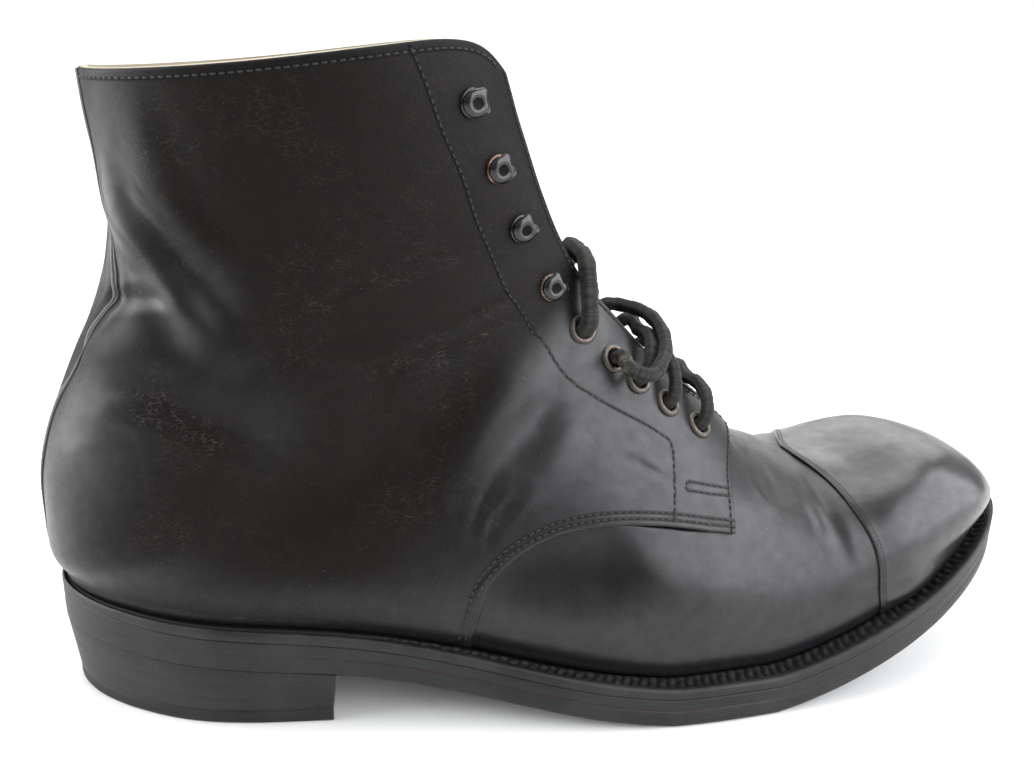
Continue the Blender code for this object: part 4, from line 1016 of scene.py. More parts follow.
# Back seam: a black strip over the join, with pale piping beside it
backSeam = dict(
    path=[  # section, way round: the worn seam wanders toward the outer side
        (15.10, 2.000), (15.90, 1.960), (16.64, 1.940), (17.30, 1.930), (17.98, 1.930), (18.59, 1.915),
        (19.05, 1.900), (19.49, 1.910), (19.84, 1.890), (20.15, 1.865), (20.86, 1.900), (21.40, 1.915),
        (21.98, 1.925), (22.85, 1.930), (23.83, 1.935),
    ],
    strip=[(-1.0, -0.6), (-0.75, 0.2), (0.0, 0.5), (0.75, 0.2), (1.0, -0.6)],  # across, height
    piping=[(0.8, -0.4), (0.95, 0.25), (1.3, 0.5), (1.65, 0.2), (1.8, -0.6)],
)
seamRow, seamAround = smoothPath(backSeam["path"], 200).T
beside = lastPoint(seamRow, seamAround - 0.01, outer)
aroundSize = np.linalg.norm(lastPoint(seamRow, seamAround, outer) - beside, axis=1) / 0.01
seamPiece = Piece("back_seam")
pipingLook = Finish("seam piping")
pipingSpot = pipingLook.noise(pipingLook.place(), 1.4, 4.0, 0.65)
pipingLook.set(baseColor=pipingLook.mix(pipingSpot, (0.035, 0.033, 0.03), (0.20, 0.19, 0.17)), roughness=0.6)
for look, key in enumerate(("strip", "piping")):
    rows = []
    for across, rise in backSeam[key]:
        around = np.minimum(seamAround + across / aroundSize, 2.0)
        point, normal, height, _ = quarterSurface(seamRow, around, outer)
        rows.append(point + normal * (height + rise)[:, None])
    seamPiece.net(np.stack(rows), look=look, dull=0.5, seam=farFromSeams)
seamPiece.build([quarterLeather, pipingLook.material], "upper")

# Toe cap over the vamp
capPiece = Piece("toe_cap_leather")
for side in (outer, inner):
    flip = side == outer
    u = waysRound(14, cap["columns"][side])
    row = capRow(u)[None] * fineEnds(cap["rows"], False, True)[:, None]
    around = np.broadcast_to(u, row.shape)
    point, normal, height, worn = capSurface(row, around, side)
    flatPoint = point.reshape(-1, 3)
    away = lineDistance(flatPoint, point[-1])[0].reshape(row.shape)
    seams = trimmed(capSeams(side))
    seamLines += [(capSurface, side, path, cap["seam"]) for path in seams]
    seamGap = seamDistance(flatPoint, seams, side).reshape(row.shape)
    skin = point + normal * rolled(height, away, cap["roll"])[..., None]
    capPiece.net(skin, flip, worn=worn, seam=seamGap, sewn=0.3, rim=1.0 - ease(0.3, 1.0, away))
    under = point[-1] + normal[-1] * 0.05
    capPiece.net(np.stack([skin[-1], under]), flip, rim=1.0, seam=farFromSeams)
    net = skirtNet(skin[:, -1], cap["skirtTuck"])
    capPiece.net(net, not flip, seam=paintedCreviceShade(net), sewn=1.0)
capPiece.build([capLeather], "toe_cap", ["toe_cap"])

# Tongue and insole inside
tongueSize = dict(depth=3.2, wall=2.0, foot=8.2, top=22.5, drop=0.9, half=1.15, wave=0.5)
tonguePiece = Piece("tongue_leather")
for side in (outer, inner):
    flip = side == outer
    u = waysRound(10, 8, tongueSize["half"])
    end = tongueSize["top"] - tongueSize["drop"] * (u / tongueSize["half"]) ** 10
    row = tongueSize["foot"] + (end - tongueSize["foot"])[None] * np.linspace(0.0, 1.0, 80)[:, None]
    around = np.broadcast_to(u, row.shape)
    point, normal = skinFrame(row, around, side)
    wave = tongueSize["wave"] * np.sin(row * 1.9) * ease(22.0, 12.0, row)
    front = point - normal * (tongueSize["depth"] + wave)[..., None]
    back = point - normal * (tongueSize["depth"] + tongueSize["wall"] + wave)[..., None]
    tonguePiece.net(front, flip, dull=1.0, seam=farFromSeams)
    tonguePiece.net(back, not flip, dull=1.0, seam=farFromSeams)
    rim = np.concatenate([np.stack([front[-1], back[-1]]), np.stack([front[::-1, -1], back[::-1, -1]])], 1)
    tonguePiece.net(rim, flip, rim=1.0, seam=farFromSeams)
tonguePiece.build([tongueLeather], "tongue", ["tongue"])

insoleForm = dict(count=120, clear=3.0, levels=[(0.0, 0.5), (0.0, 2.6), (0.5, 3.5), (4.0, 3.5)])
insolePiece = Piece("insole_leather")
insoleLoop = outlineLoop(insoleForm["count"])
insoleRows = []
for inset, rise in insoleForm["levels"]:
    loop = insetLoop(insoleLoop, reveal(insoleLoop[:, 0]) + insoleForm["clear"] + inset)
    insoleRows.append(np.column_stack([loop, weltTop(loop[:, 0]) + rise]))
insolePiece.net(np.stack(insoleRows), closed=True)


def ruledFaces(size):  # faces straight across a closed loop that runs to the toe and back
    half = size // 2
    faces = []
    for i in range(half):
        corners = list(dict.fromkeys([i, i + 1, (size - i - 1) % size, (size - i) % size]))
        faces.append(corners)
    return faces


insolePiece.patch(insoleRows[-1], ruledFaces(len(insoleLoop)))
insolePiece.patch(insoleRows[0], [face[::-1] for face in ruledFaces(len(insoleLoop))])
insolePiece.build([insoleLeather], "insole", ["insole"])

# Stitches: short waxed threads, dipping into the leather at both ends
stitch = dict(length=0.82, radius=0.26, rise=0.10, dip=0.35, sides=6, rings=6)
stitchPiece = Piece("stitches")
ring = np.linspace(0.0, 2 * math.pi, stitch["sides"], endpoint=False)
way = np.linspace(-1.0, 1.0, stitch["rings"])
thick = np.sqrt(np.maximum(1.0 - way ** 4, 0.02))
stitchForm = np.stack([
    np.broadcast_to(way[:, None] * 0.5, (stitch["rings"], stitch["sides"])),
    stitch["radius"] * thick[:, None] * np.cos(ring),
    stitch["radius"] * thick[:, None] * np.sin(ring) + stitch["rise"] - stitch["dip"] * way[:, None] ** 4,
], -1).reshape(-1, 3)
stitchFaces = netFaces(stitch["rings"], stitch["sides"], closed=True)
for surface, side, path, seam in seamLines:
    point = lastPoint(path[:, 0], path[:, 1], side)
    dense = np.concatenate([[0.0], np.cumsum(np.linalg.norm(np.diff(point, axis=0), axis=1))])
    count = max(2, int(dense[-1] / seam["pitch"]))
    at = (np.arange(count) + 0.5) / count * dense[-1]
    spots = [[np.interp(at + shift, dense, path[:, k]) for k in (0, 1)] for shift in (-0.2, 0.0, 0.2)]
    before, after = lastPoint(*spots[0], side), lastPoint(*spots[2], side)
    base, normal, height, _ = surface(*spots[1], side)
    along = (after - before) / np.linalg.norm(after - before, axis=1, keepdims=True)
    across = np.cross(normal, along)
    centre = base + normal * height[:, None]
    size = dense[-1] / count * stitch["length"]
    x, y, z = np.split(stitchForm[None], 3, axis=2)
    placed = (centre[:, None] + along[:, None] * x * size
              + (across[:, None] * y + normal[:, None] * z) * seam["thickness"])
    faces = (stitchFaces[None] + (np.arange(count) * len(stitchForm))[:, None, None]).reshape(-1, 4)
    stitchPiece.patch(placed.reshape(-1, 3), faces + stitchPiece.count)
stitchPiece.build([threadLook.material], "upper", weld=0)
print("upper, cap, tongue, insole and stitches made")

# Sole: wheeled welt, midsole and outsole, from loops moved in from the outline
soleLook = dict(
    count=2400,
    ribPitch=2.8,
    ribSlant=0.45,
    ribDepth=1.1,
    crevice=1.6,  # depth of the groove beside the upper
    bandRim=2.4,  # plain rim outside the wheeled band
    weltUnder=7.4,  # the welt runs on this far under the upper
    flush=(66.0, 100.0, 0.1),  # round the heel the layers are dressed flush: from, to, and what is left
)
wholeLoop = outlineLoop(400)
soleLoop = evenPath(np.concatenate([wholeLoop, wholeLoop[:1]]), soleLook["count"] + 1)[:-1]
soleRun = np.arange(soleLook["count"]) / soleLook["count"]
soleX = soleLoop[:, 0]
soleLength = np.linalg.norm(np.diff(soleLoop, axis=0), axis=1).sum()
ribCount = round(soleLength / soleLook["ribPitch"])


def soleRing(inset, height):
    loop = insetLoop(soleLoop, inset)
    return np.column_stack([loop, underside(loop[:, 0]) + height])


def edgeFinish(name, look):
    finish = Finish(name)
    spot = finish.place()
    drag = finish.noise(finish.place((0.25, 0.25, 3.2)), 0.9, 4.0, 0.6)  # scratches along the edge
    cloud = finish.noise(spot, 14.0, 4.0, 0.6)
    speck = finish.noise(spot, 0.8, 3.0, 0.7)
    tone = finish.mix(finish.between(cloud, 0.35, 0.7), look["dark"], look["pale"])
    tone = finish.mix(finish.between(drag, 0.56, 0.74) * 0.5, tone, look["scratch"])
    tone = finish.mix(finish.between(speck, 0.62, 0.78) * 0.4, tone, look["dust"])
    tone = finish.mix(finish.value("bond"), tone, look["bond"])
    tone = finish.mix(finish.value("raw") * (speck * 0.5 + 0.4), tone, look["raw"])
    # deep darkens the welt's grooves as painted shade, and the joints between the heel's layers
    deep = finish.value("deep")
    tone = finish.mix(deep, tone, (0.003, 0.003, 0.003))
    rough = look["rough"] + (cloud - 0.5) * 0.2 + finish.between(drag, 0.5, 0.75) * 0.1 + deep * 0.2
    skin = finish.bump(drag, look["drag"])
    skin = finish.bump(speck, 0.06, skin)
    return finish.set(baseColor=tone, roughness=rough, normal=skin, specularIORLevel=look["specular"])


soleLooks = dict(
    dark=(0.0045, 0.0045, 0.0045), pale=(0.013, 0.013, 0.013), scratch=(0.042, 0.041, 0.039),
    dust=(0.12, 0.115, 0.105), bond=(0.075, 0.030, 0.020), raw=(0.10, 0.075, 0.050), rough=0.50, drag=0.06,
    specular=0.32,
)
weltEdge = edgeFinish("welt edge", {
    **soleLooks, "dark": (0.005, 0.005, 0.005), "pale": (0.015, 0.015, 0.015)})
soleEdge = edgeFinish("sole edge", soleLooks)
heelEdge = edgeFinish("heel edge", {
    **soleLooks, "dark": (0.005, 0.005, 0.005), "pale": (0.013, 0.013, 0.012)})
liftRubber = edgeFinish("top lift rubber", {**soleLooks, "pale": (0.012, 0.011, 0.010), "rough": 0.62})

weltPiece = Piece("welt_strip")
weltLow = sole["outsole"] + sole["midsole"] + 2 * sole["layerGap"]
weltHigh = weltLow + sole["welt"]
shown = reveal(soleX)
bandIn = shown - 0.5
bandOut = np.minimum(soleLook["bandRim"], bandIn * 0.55)
ribShow = ease(84.0, 104.0, soleX)
weltRows = [soleRing(shown + soleLook["weltUnder"], height) for height in (weltLow, weltHigh)]
weltRows.append(soleRing(shown + 0.6, weltHigh - soleLook["crevice"]))
# painted shade: the crevice beside the upper and the dips between the welt's ribs are painted near black, by
# their depth
grooveShadeRows = [0.0, 0.0, 1.0]
for share in np.linspace(0.0, 1.0, 8):
    wheel = soleRun * ribCount + soleLook["ribSlant"] * share + 0.12 * np.sin(soleRun * 190.0)
    teeth = 0.5 + 0.5 * np.cos(2 * math.pi * wheel)
    teeth = (1.0 - (1.0 - teeth) ** 2.0) * (0.72 + 0.28 * np.sin(np.round(wheel) * 2.7 + 7.0 * share))
    ends = min(1.0, 1.25 * math.sin(math.pi * (0.06 + 0.9 * share)))  # shallower at both ends of a rib
    dip = soleLook["ribDepth"] * (1.0 - teeth * ribShow) * ends
    weltRows.append(soleRing(bandIn + (bandOut - bandIn) * share, weltHigh - 0.15 - dip))
    grooveShadeRows.append(0.55 + 0.45 * np.clip(dip / soleLook["ribDepth"], 0.0, 1.0) ** 0.7)
for inset, drop in ((0.78, 0.12), (0.55, 0.0)):
    weltRows.append(soleRing(bandOut * inset, weltHigh - drop))
    grooveShadeRows.append(0.0)
for inset, height in ((0.9, weltHigh), (0.35, weltHigh - 0.22), (0.0, weltHigh - 0.8),
                      (0.0, weltLow + 0.25), (0.2, weltLow), (3.0, weltLow)):
    weltRows.append(soleRing(np.minimum(inset, bandOut * 0.4) if height > weltHigh - 0.5 else inset, height))
    grooveShadeRows.append(0.0)
weltRows.append(weltRows[0])
grooveShadeRows.append(0.0)
deep = np.stack([np.broadcast_to(row, soleLook["count"]) for row in grooveShadeRows])
weltPiece.net(np.stack(weltRows), closed=True, deep=deep)
weltPiece.build([weltEdge], "welt", ["welt"])


def slabPiece(node, rows, look, bond=()):  # a layer closed above and below straight across
    piece = Piece(node + "_layer")
    start, end, least = soleLook["flush"]
    bevel = least + (1.0 - least) * ease(start, end, soleX)
    rings = [soleRing(inset * (bevel if 0.0 < inset < 2.0 else 1.0), height) for inset, height in rows]
    mark = np.array([1.0 if k in bond else 0.0 for k in range(len(rings))])[:, None]
    glued = mark * ease(70.0, 110.0, soleX)
    piece.net(np.stack(rings), True, closed=True, bond=glued)
    piece.patch(rings[-1], ruledFacesAt(piece.count, False))
    piece.patch(rings[0], ruledFacesAt(piece.count, True))
    return piece.build([look], node, [node])


def ruledFacesAt(base, flip):
    faces = ruledFaces(soleLook["count"])
    return [[base + i for i in (face if not flip else face[::-1])] for face in faces]


midLow = sole["outsole"] + sole["layerGap"]
midHigh = midLow + sole["midsole"]
slabPiece("midsole", [
    (4.0, midLow - 0.26), (0.35, midLow - 0.26), (0.34, midLow - 0.24), (0.10, midLow - 0.05),
    (0.0, midLow + 0.25), (0.0, midHigh - 0.2), (0.10, midHigh + 0.1), (0.4, midHigh + 0.3),
    (4.0, midHigh + 0.3)], soleEdge, bond=(0, 1, 2))
slabPiece("outsole", [
    (6.0, 0.0), (1.2, 0.0), (1.1, 0.02), (0.4, 0.3), (0.0, 1.1), (-0.05, 3.0), (0.0, sole["outsole"] - 0.2),
    (0.10, sole["outsole"] + 0.02), (0.34, sole["outsole"] + 0.10), (0.35, sole["outsole"] + 0.12),
    (4.0, sole["outsole"] + 0.12)], soleEdge, bond=(8, 9, 10))

# Heel: a stack of leather layers on a rubber top lift
heel = dict(sides=150, face=60, meet=0.02, seam=0.03, rake=1.5)  # the breast slopes back by the rake


def heelRing(inset, front):
    loop = insetLoop(soleLoop, inset)
    half = len(loop) // 2
    near, far = loop[:half], np.concatenate([loop[half:], loop[:1]])
    yNear = np.interp(front, near[:, 0], near[:, 1])
    yFar = np.interp(front, far[::-1, 0], far[::-1, 1])
    across = np.linspace(0.0, 1.0, heel["face"])
    face = np.stack([front - sole["breastHollow"] * np.sin(math.pi * across) ** 0.7,
                     yNear + (yFar - yNear) * across], 1)
    near = np.concatenate([near[near[:, 0] < front - 0.3], face[:1]])
    far = np.concatenate([face[-1:], far[far[:, 0] < front - 0.3]])
    return np.concatenate([evenPath(near, heel["sides"])[:-1], face[:-1], evenPath(far, heel["sides"])[:-1]])


def heelPiece(node, levels, look, bond=(), seams=()):
    piece = Piece(node + "_form")
    rings = []
    for inset, front, height in levels:
        ring = heelRing(inset, front)
        rings.append(np.column_stack([ring, np.broadcast_to(height(ring[:, 0]), len(ring))]))
    size = len(rings[0])
    raw = np.zeros((len(rings), size))
    raw[:, heel["sides"] - 1:heel["sides"] + heel["face"] - 1] = 0.8
    mark = np.zeros_like(raw)
    mark[list(bond)] = np.maximum(ease(45.0, 15.0, rings[0][:, 0]), ease(62.0, 78.0, rings[0][:, 0]))
    dark = np.zeros_like(raw)
    broken = 0.55 + 0.45 * np.sin(rings[0][:, 0] * 0.9) + ease(45.0, 75.0, rings[0][:, 0])
    dark[list(seams)] = 0.3 * np.clip(broken, 0.0, 1.0)
    piece.net(np.stack(rings), True, closed=True, raw=raw, bond=mark, deep=dark)
    for ring, order in ((rings[-1], range(size)), (rings[0], range(size)[::-1])):
        piece.patch(ring, [[piece.count + i for i in order]])
    return piece.build([look], node, [node])


def stackHeight(share):
    base = sole["topLift"] + heel["meet"]
    return lambda x: base + (underside(x) - heel["meet"] - base) * share


stackLevels, stackSeams = [], []
for share in (0.0, 0.002, 0.30, 0.315, 0.33, 0.64, 0.655, 0.67, 0.998, 1.0):
    groove = heel["seam"] if share in (0.315, 0.655) else 0.0
    if groove:
        stackSeams.append(len(stackLevels))
    bevel = 0.02 if share in (0.0, 1.0) else 0.0
    inset = sole["taper"] * (1.0 - share) + groove + bevel
    front = sole["breast"] - heel["rake"] * (1.0 - share) - bevel
    stackLevels.append((inset, front, stackHeight(share)))
heelPiece("heel_stack", stackLevels, heelEdge, seams=stackSeams)
liftLevels = []
for inset, height in ((1.2, 0.0), (0.4, 0.35), (0.1, 0.9), (0.0, 1.6), (0.0, 4.1), (0.35, 4.5)):
    front = sole["breast"] - heel["rake"] - inset * 0.25
    liftLevels.append((sole["taper"] + inset, front, lambda x, z=height: z + 0.0 * x))
heelPiece("top_lift", liftLevels, liftRubber, bond=(5,))
print("sole and heel made")

# Eyelets and hooks on the facings
turn = np.linspace(0.0, 2 * math.pi, fasteners["sides"], endpoint=False)


def turnedForm(profile):
    profile = np.array(profile)
    x, y = profile[:, :1] * np.cos(turn), profile[:, :1] * np.sin(turn)
    z, worn = [np.broadcast_to(profile[:, k:k + 1], x.shape) for k in (1, 2)]
    return np.stack([x, y, z], -1), worn


def hookLipForm():  # a dome, round on the heel's side, with two ears and a hollow toward the throat
    angle = np.degrees(np.arctan2(np.sin(turn), np.cos(turn)))
    extra, ear, spread = fasteners["hookEars"]
    hollow, half = fasteners["hookNeck"]
    points = extra * np.exp(-((np.abs(angle) - ear) / spread) ** 2) - hollow * np.exp(-(angle / half) ** 2)
    share, height = np.array(fasteners["hookLip"]).T
    reach = share[:, None] * (fasteners["hookReach"] + points * share[:, None] ** 2)
    x, y = [reach * wave(turn) for wave in (np.cos, np.sin)]
    lean, lift = math.radians(fasteners["hookTilt"][0]), fasteners["hookTilt"][1]
    rise = np.broadcast_to(height[:, None], x.shape) - height[-1]
    return np.stack([x * math.cos(lean) - rise * math.sin(lean), y,
                     height[-1] + lift + rise * math.cos(lean) + x * math.sin(lean)], -1)


def metalFinish(name, look):
    finish = Finish(name)
    spot = finish.place()
    chip = finish.noise(spot, 0.8, 4.0, 0.65)
    stain = finish.noise(spot, 2.2, 3.0)
    bare = finish.between(finish.value("worn") + (chip - 0.5) * 1.6, look["from"], look["to"])
    metal = finish.mix(finish.between(stain, 0.35, 0.7), look["metal"], look["tarnish"])
    tone = finish.mix(bare, look["enamel"], metal)
    rough = look["gloss"] + bare * (look["bareRough"] - look["gloss"]) + (chip - 0.5) * 0.06
    return finish.set(baseColor=tone, metallic=bare * 0.9, roughness=rough, normal=finish.bump(chip, 0.04))


eyeletBrass = metalFinish("eyelet brass", {
    "enamel": (0.030, 0.024, 0.020), "metal": (0.19, 0.155, 0.125), "tarnish": (0.07, 0.055, 0.042),
    "from": 0.35, "to": 1.05, "gloss": 0.42, "bareRough": 0.45})
hookEnamel = metalFinish("hook enamel", {
    "enamel": (0.008, 0.008, 0.009), "metal": (0.23, 0.145, 0.10), "tarnish": (0.08, 0.05, 0.04),
    "from": 0.45, "to": 0.85, "gloss": 0.07, "bareRough": 0.35})
# painted shade: the middle of each hook's lip is near black and barely reflects
hookPaintedShade = Finish("hook painted shade")
hookPaintedShade.set(baseColor=(0.001, 0.001, 0.001), roughness=0.25, specularIORLevel=0.08)


def place(form, seat):
    origin, axes = seat
    return origin + form @ axes


eyeletPiece, hookPiece = Piece("eyelets"), Piece("hooks")
eyeletNames, hookNames = [], []
for side, word in ((outer, "outer"), (inner, "inner")):
    for i, (section, setback, _) in enumerate(fasteners["eyelets"]):
        seat = seatFrame(section, setback, side)
        for form, drop in ((fasteners["eyeletForm"], 0.0), (fasteners["backForm"], -quarter["wall"])):
            net, worn = turnedForm(form)
            net = net + np.array([0.0, 0.0, drop])
            eyeletPiece.net(place(net, seat), True, closed=True, worn=worn)
        eyeletNames.append(f"eyelet_{word}_{i + 1}")
    for i, (section, setback) in enumerate(fasteners["hooks"]):
        seat = seatFrame(section, setback, side, 0.3)
        net, worn = turnedForm(fasteners["hookFoot"])
        hookPiece.net(place(net, seat), closed=True, worn=worn * fasteners["hookWear"][i])
        lift = side * math.radians(fasteners["hookTurn"][i])
        spin = np.array([
            [math.cos(lift), -math.sin(lift), 0.0], [math.sin(lift), math.cos(lift), 0.0], [0.0, 0.0, 1.0]])
        lip = place(hookLipForm() @ spin, seat)
        # the middle of the lip takes the painted shade
        hookPiece.net(lip[:3], closed=True, look=1)
        hookPiece.net(lip[2:], closed=True)
        stem = turnedForm(fasteners["hookStem"])[0] + np.array([fasteners["hookStemAt"], 0.0, 0.0])
        hookPiece.net(place(stem, seat), True, closed=True)
        hookNames.append(f"hook_{word}_{i + 1}")
eyeletPiece.build([eyeletBrass], "eyelets", eyeletNames)
hookPiece.build([hookEnamel, hookPaintedShade.material], "hooks", hookNames)

# Laces: round braided cord through the lower eyelets, with a slack loop at the fourth pair
lace = dict(
    radius=2.0,
    plump=(1.0, 1.0, 1.0, 1.05, 1.3),  # soft cotton swells past its nominal size, most at the fifth pair
    rise=3.7,  # the cord's middle above the leather at an eyelet's mouth
    across=[(0.0, 0.0), (0.35, 0.9), (0.75, 0.6), (1.0, -0.1)],  # share of the setback, extra height
    inside=[(-9.0, 6.0), (-5.0, 2.2), (-1.0, 0.0), (1.6, 0.3)],  # height in the eyelet, shift to the throat
    sag=1.5,
    bars=(0, 1, 2, 4),
    looped=3,
    loop=[  # forward, inward and up from the outer eyelet's mouth
        (2.6, -5.6, -3.2), (6.8, -6.2, -4.0), (10.8, -2.6, -2.2), (13.8, 3.4, 0.8), (14.4, 10.0, 4.2),
        (12.8, 16.0, 7.0), (9.8, 22.0, 8.0), (6.6, 28.5, 7.6),
    ],
    frayed=(3.6, 2.0),  # middle and half length of the worn stretch of the loop
    loopLift=1.2,  # the loop's end passes this far over the inner facing's edge
    strands=6,
    relief=0.10,  # height of the strands and of their wear, as a share of the radius
    braid=5.0,  # length of one turn of a strand, in radii
    sides=28,
    step=0.45,
)


def laceSide(pair, side):
    section, setback, climb = fasteners["eyelets"][pair]
    return [seatFrame(section + climb * share, setback * (1.0 - share), side, lace["rise"] + extra)[0]
            for share, extra in lace["across"]]


def laceInside(pair, side):
    section, setback, _ = fasteners["eyelets"][pair]
    origin, axes = seatFrame(section, setback, side)
    return [origin + axes[2] * height + axes[0] * shift for height, shift in lace["inside"]]


def laceBar(pair):
    near, far = laceSide(pair, outer), laceSide(pair, inner)
    sag = lace["sag"] * (1.0 - fasteners["eyelets"][pair][2])
    middle = (near[-1] + far[-1]) / 2.0 - np.array([0.0, 0.0, sag])
    return near + [middle] + far[::-1]


def cordNet(piece, path, radius, frayed=None):  # frayed: middle and half length of a worn stretch
    point = smoothPath(path, max(12, int(len(path) * 9)))
    point = evenPath(point, max(8, int(np.linalg.norm(np.diff(point, axis=0), axis=1).sum() / lace["step"])))
    tangent = np.gradient(point, axis=0)
    tangent /= np.linalg.norm(tangent, axis=1, keepdims=True)
    normal = np.cross(tangent[0], [0.31, 0.87, 0.39])
    frames = []
    for direction in tangent:
        normal = normal - direction * np.dot(normal, direction)
        normal = normal / np.linalg.norm(normal)
        frames.append((normal, np.cross(direction, normal)))
    frames = np.array(frames)
    turn = np.linspace(0.0, 1.0, lace["sides"] + 1)
    ring = np.stack([np.cos(2 * math.pi * turn), np.sin(2 * math.pi * turn)], 1)
    run = np.concatenate([[0.0], np.cumsum(np.linalg.norm(np.diff(point, axis=0), axis=1))])
    taper = np.where((run < 0.4) | (run > run[-1] - 0.4), 0.75, 1.0)
    net = point[:, None] + radius * taper[:, None, None] * np.einsum("tk,nkc->ntc", ring, frames)
    turns = np.broadcast_to(turn, net.shape[:2])
    runs = np.broadcast_to(run[:, None], net.shape[:2])
    wear = np.zeros_like(runs) if frayed is None else np.exp(-((runs - frayed[0]) / frayed[1]) ** 2)
    wander = runs + 0.8 * np.sin(runs * 0.71 + 0.4) + 0.4 * np.sin(runs * 1.7 + 2 * math.pi * turns)
    lay = 2 * math.pi * wander / (lace["braid"] * lace["radius"]) * lace["strands"] / 2
    twist = 2 * math.pi * turns * lace["strands"] / 2
    rough = np.sin(lay + twist) * np.sin(lay - twist) + 0.5 * np.sin(runs * 0.83 + 1.0)
    net = net + (net - point[:, None]) * lace["relief"] * rough[..., None]
    piece.net(net, False, run=wander, turn=turns, frayed=wear)
    sides = range(lace["sides"])
    for end, order in ((0, sides[::-1]), (-1, sides)):
        piece.patch(net[end, :-1], [[piece.count + i for i in order]], run=float(run[end]))
    return point


def laceFinish():
    finish = Finish("lace cotton")
    run = finish.value("run") / (lace["braid"] * lace["radius"]) * (2 * math.pi)
    turn = finish.value("turn") * (2 * math.pi * lace["strands"] / 2)
    wave = (finish.add("ShaderNodeMath", {"operation": "SINE"}, {0: run * (lace["strands"] / 2) + turn})
            * finish.add("ShaderNodeMath", {"operation": "SINE"}, {0: run * (lace["strands"] / 2) - turn}))
    spot = finish.place()
    fuzz = finish.noise(spot, 0.22, 3.0, 0.7)
    shade = finish.noise(spot, 2.6, 4.0, 0.65)
    # painted shade: the gaps between the braid's raised strands are painted near black, the strands lighter
    over = finish.between(wave + (fuzz - 0.5) * 2.0, -0.5, 0.9)
    tone = finish.mix(over, (0.002, 0.002, 0.002), (0.022, 0.023, 0.019))
    tone = finish.mix(finish.between(shade, 0.45, 0.75) * 0.4, tone, (0.034, 0.037, 0.028))
    tone = finish.mix(finish.between(fuzz, 0.62, 0.80) * 0.6, tone, (0.10, 0.105, 0.08))
    frayed = finish.value("frayed") * finish.between(fuzz + shade, 1.0, 1.16)
    tone = finish.mix(frayed, tone, (0.26, 0.21, 0.12))
    skin = finish.bump(wave * finish.between(shade, 0.3, 0.7), 0.16)
    skin = finish.bump(fuzz, 0.34, skin)
    return finish.set(baseColor=tone, roughness=0.85, normal=skin)


laceCotton = laceFinish()
laceLoopPiece = Piece("slack_lace")
ends = laceBar(lace["looped"])
loopPath = [ends[0]] + [ends[0] + np.array(offset) for offset in lace["loop"]]
loopPath += [ends[-2] + np.array([0.0, 0.0, lace["loopLift"]]), ends[-1]]
loopRadius = lace["radius"] * lace["plump"][lace["looped"]]
loopLine = cordNet(laceLoopPiece, loopPath, loopRadius, lace["frayed"])
laceLoop = laceLoopPiece.build([laceCotton], "laces", ["lace_loop"], weld=0)

lacePiece = Piece("laces")
for pair in lace["bars"]:
    path = laceInside(pair, outer) + laceBar(pair)[1:-1] + laceInside(pair, inner)[::-1]
    cordNet(lacePiece, path, lace["radius"] * lace["plump"][pair])
for side in (outer, inner):
    stub = laceInside(lace["looped"], side) + laceSide(lace["looped"], side)[:1]
    cordNet(lacePiece, stub, lace["radius"])
lacePiece.build([laceCotton], "laces", [f"lace_bar_{pair + 1}" for pair in lace["bars"]], weld=0)
print("fasteners and laces made")

# Floor that sweeps up behind, light and camera
stage = dict(
    half=4.0, near=-4.5, far=1.0, sweep=0.7, top=2.2,
    tone=(0.72, 0.72, 0.71), front=(0.42, 0.42, 0.42),  # the floor is painted darker toward the room in front, a painted shade
    fade=(-700.0, -200.0),
    glow=(450.0, 1100.0),  # the far backdrop is lit on its own
)
floorPiece = bpy.data.meshes.new("floor")
bend = np.linspace(0.0, math.pi / 2, 24)
wallY = stage["far"] + stage["sweep"]
sweepY = np.concatenate([[stage["near"]], stage["far"] + stage["sweep"] * np.sin(bend), [wallY]])
sweepZ = np.concatenate([[0.0], stage["sweep"] * (1.0 - np.cos(bend)), [stage["top"]]])
floorPoints = [(x, y, z) for y, z in zip(sweepY, sweepZ) for x in (-stage["half"], stage["half"])]
floorPiece.from_pydata(floorPoints, [], netFaces(len(sweepY), 2, flip=True).tolist())
floorPiece.shade_smooth()
floorLook = Finish("floor with painted front shade")
ahead = floorLook.add("ShaderNodeSeparateXYZ", None, {0: floorLook.place()}, "Y")
# painted shade on the floor toward the front
pale = floorLook.between(ahead, *stage["fade"])
glow = floorLook.mix(floorLook.between(ahead, *stage["glow"]), (0.0, 0.0, 0.0), (0.25, 0.25, 0.25))
floorLook.set(baseColor=floorLook.mix(pale, stage["front"], stage["tone"]), roughness=0.7,
              emissionColor=glow, emissionStrength=1.0)
floorPiece.materials.append(floorLook.material)
floor = bpy.data.objects.new("floor", floorPiece)
bpy.context.scene.collection.objects.link(floor)

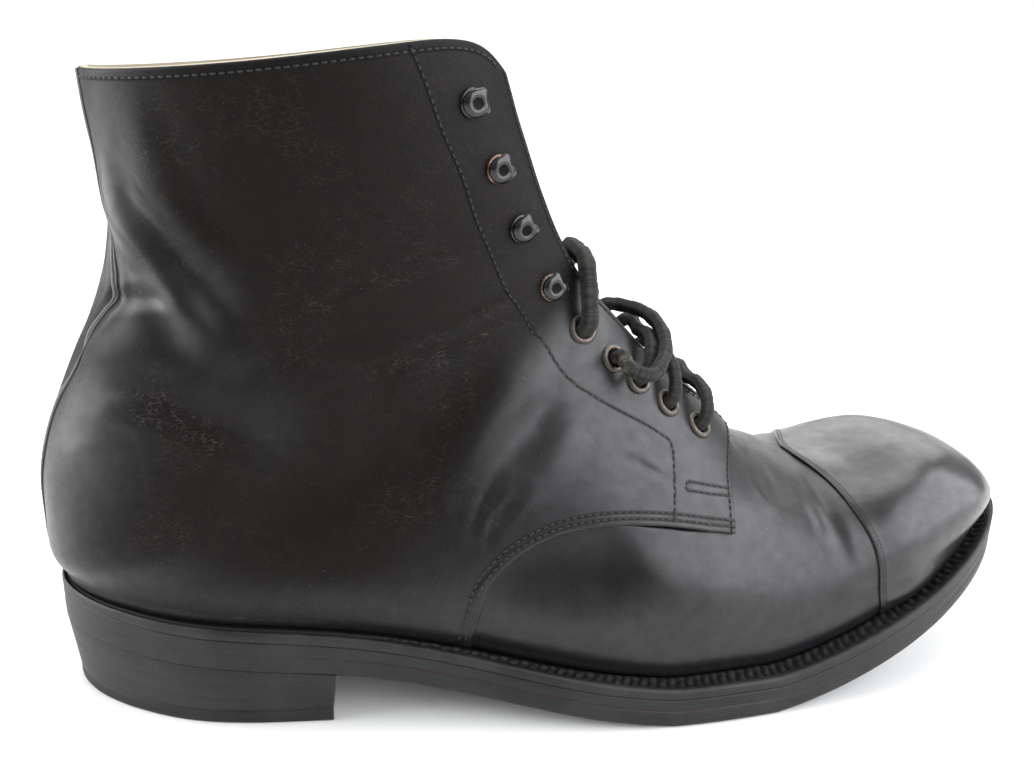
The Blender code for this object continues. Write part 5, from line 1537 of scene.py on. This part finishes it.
lights = [  # name, place, target, size, power, colour
    ("overhead", (0.05, 0.35, 1.15), (0.0, 0.05, 0.0), (1.3, 0.9), 15.0, (1.0, 0.99, 0.97)),
    ("window", (-1.00, 0.05, 0.42), (0.0, 0.0, 0.10), (0.8, 0.8), 18.0, (0.97, 0.98, 1.0)),
    ("back", (0.60, 0.95, 0.66), (0.08, 0.0, 0.05), (1.0, 0.6), 4.0, (1.0, 1.0, 1.0)),
    ("right", (0.80, -0.48, 0.52), (0.05, 0.0, 0.05), (1.5, 1.1), 27.0, (0.95, 0.96, 1.0)),
]
for name, spot, target, size, power, colour in lights:
    data = bpy.data.lights.new(name, "AREA")
    data.shape = "RECTANGLE"
    data.size, data.size_y = size
    data.energy = power
    data.color = colour
    lamp = bpy.data.objects.new(name, data)
    lamp.location = spot
    lamp.rotation_euler = (Vector(target) - Vector(spot)).to_track_quat("-Z", "Y").to_euler()
    lamp.visible_camera = False
    bpy.context.scene.collection.objects.link(lamp)
room = Finish("studio", "worlds", "Background")  # bright above, dim at the height of the eye
toward = room.add("ShaderNodeTexCoord", output="Generated")
rise = room.add("ShaderNodeSeparateXYZ", None, {0: toward}, "Z")
room.set(color=(1.0, 1.0, 1.0), strength=room.between(rise, 0.0, 0.75, 0.14, 0.70))
bpy.context.scene.world = room.material
bpy.context.scene.view_settings.view_transform = "Standard"

view = dict(
    focal=1000.0,  # in the photograph's pixels
    width=1034.0,
    sensor=36.0,
    place=(87.341, -286.711, 186.475),
    yaw=-9.9,
    pitch=18.719,
    roll=1.495,
)
yaw, pitch, roll = [math.radians(view[key]) for key in ("yaw", "pitch", "roll")]
forward = np.array([-math.sin(yaw) * math.cos(pitch), math.cos(yaw) * math.cos(pitch), -math.sin(pitch)])
right = np.array([math.cos(yaw), math.sin(yaw), 0.0])
upward = np.cross(right, forward)
cameraData = bpy.data.cameras.new("camera")
cameraData.sensor_fit = "HORIZONTAL"
cameraData.sensor_width = view["sensor"]
cameraData.lens = view["sensor"] * view["focal"] / view["width"]
cameraData.clip_start = 0.01
camera = bpy.data.objects.new("camera", cameraData)
pose = Matrix.Identity(4)
pose.col[0].xyz = right * math.cos(roll) + upward * math.sin(roll)
pose.col[1].xyz = upward * math.cos(roll) - right * math.sin(roll)
pose.col[2].xyz = -forward
pose.translation = toFrame(view["place"])
camera.matrix_world = pose
bpy.context.scene.collection.objects.link(camera)
bpy.context.scene.camera = camera

print("scene ready")
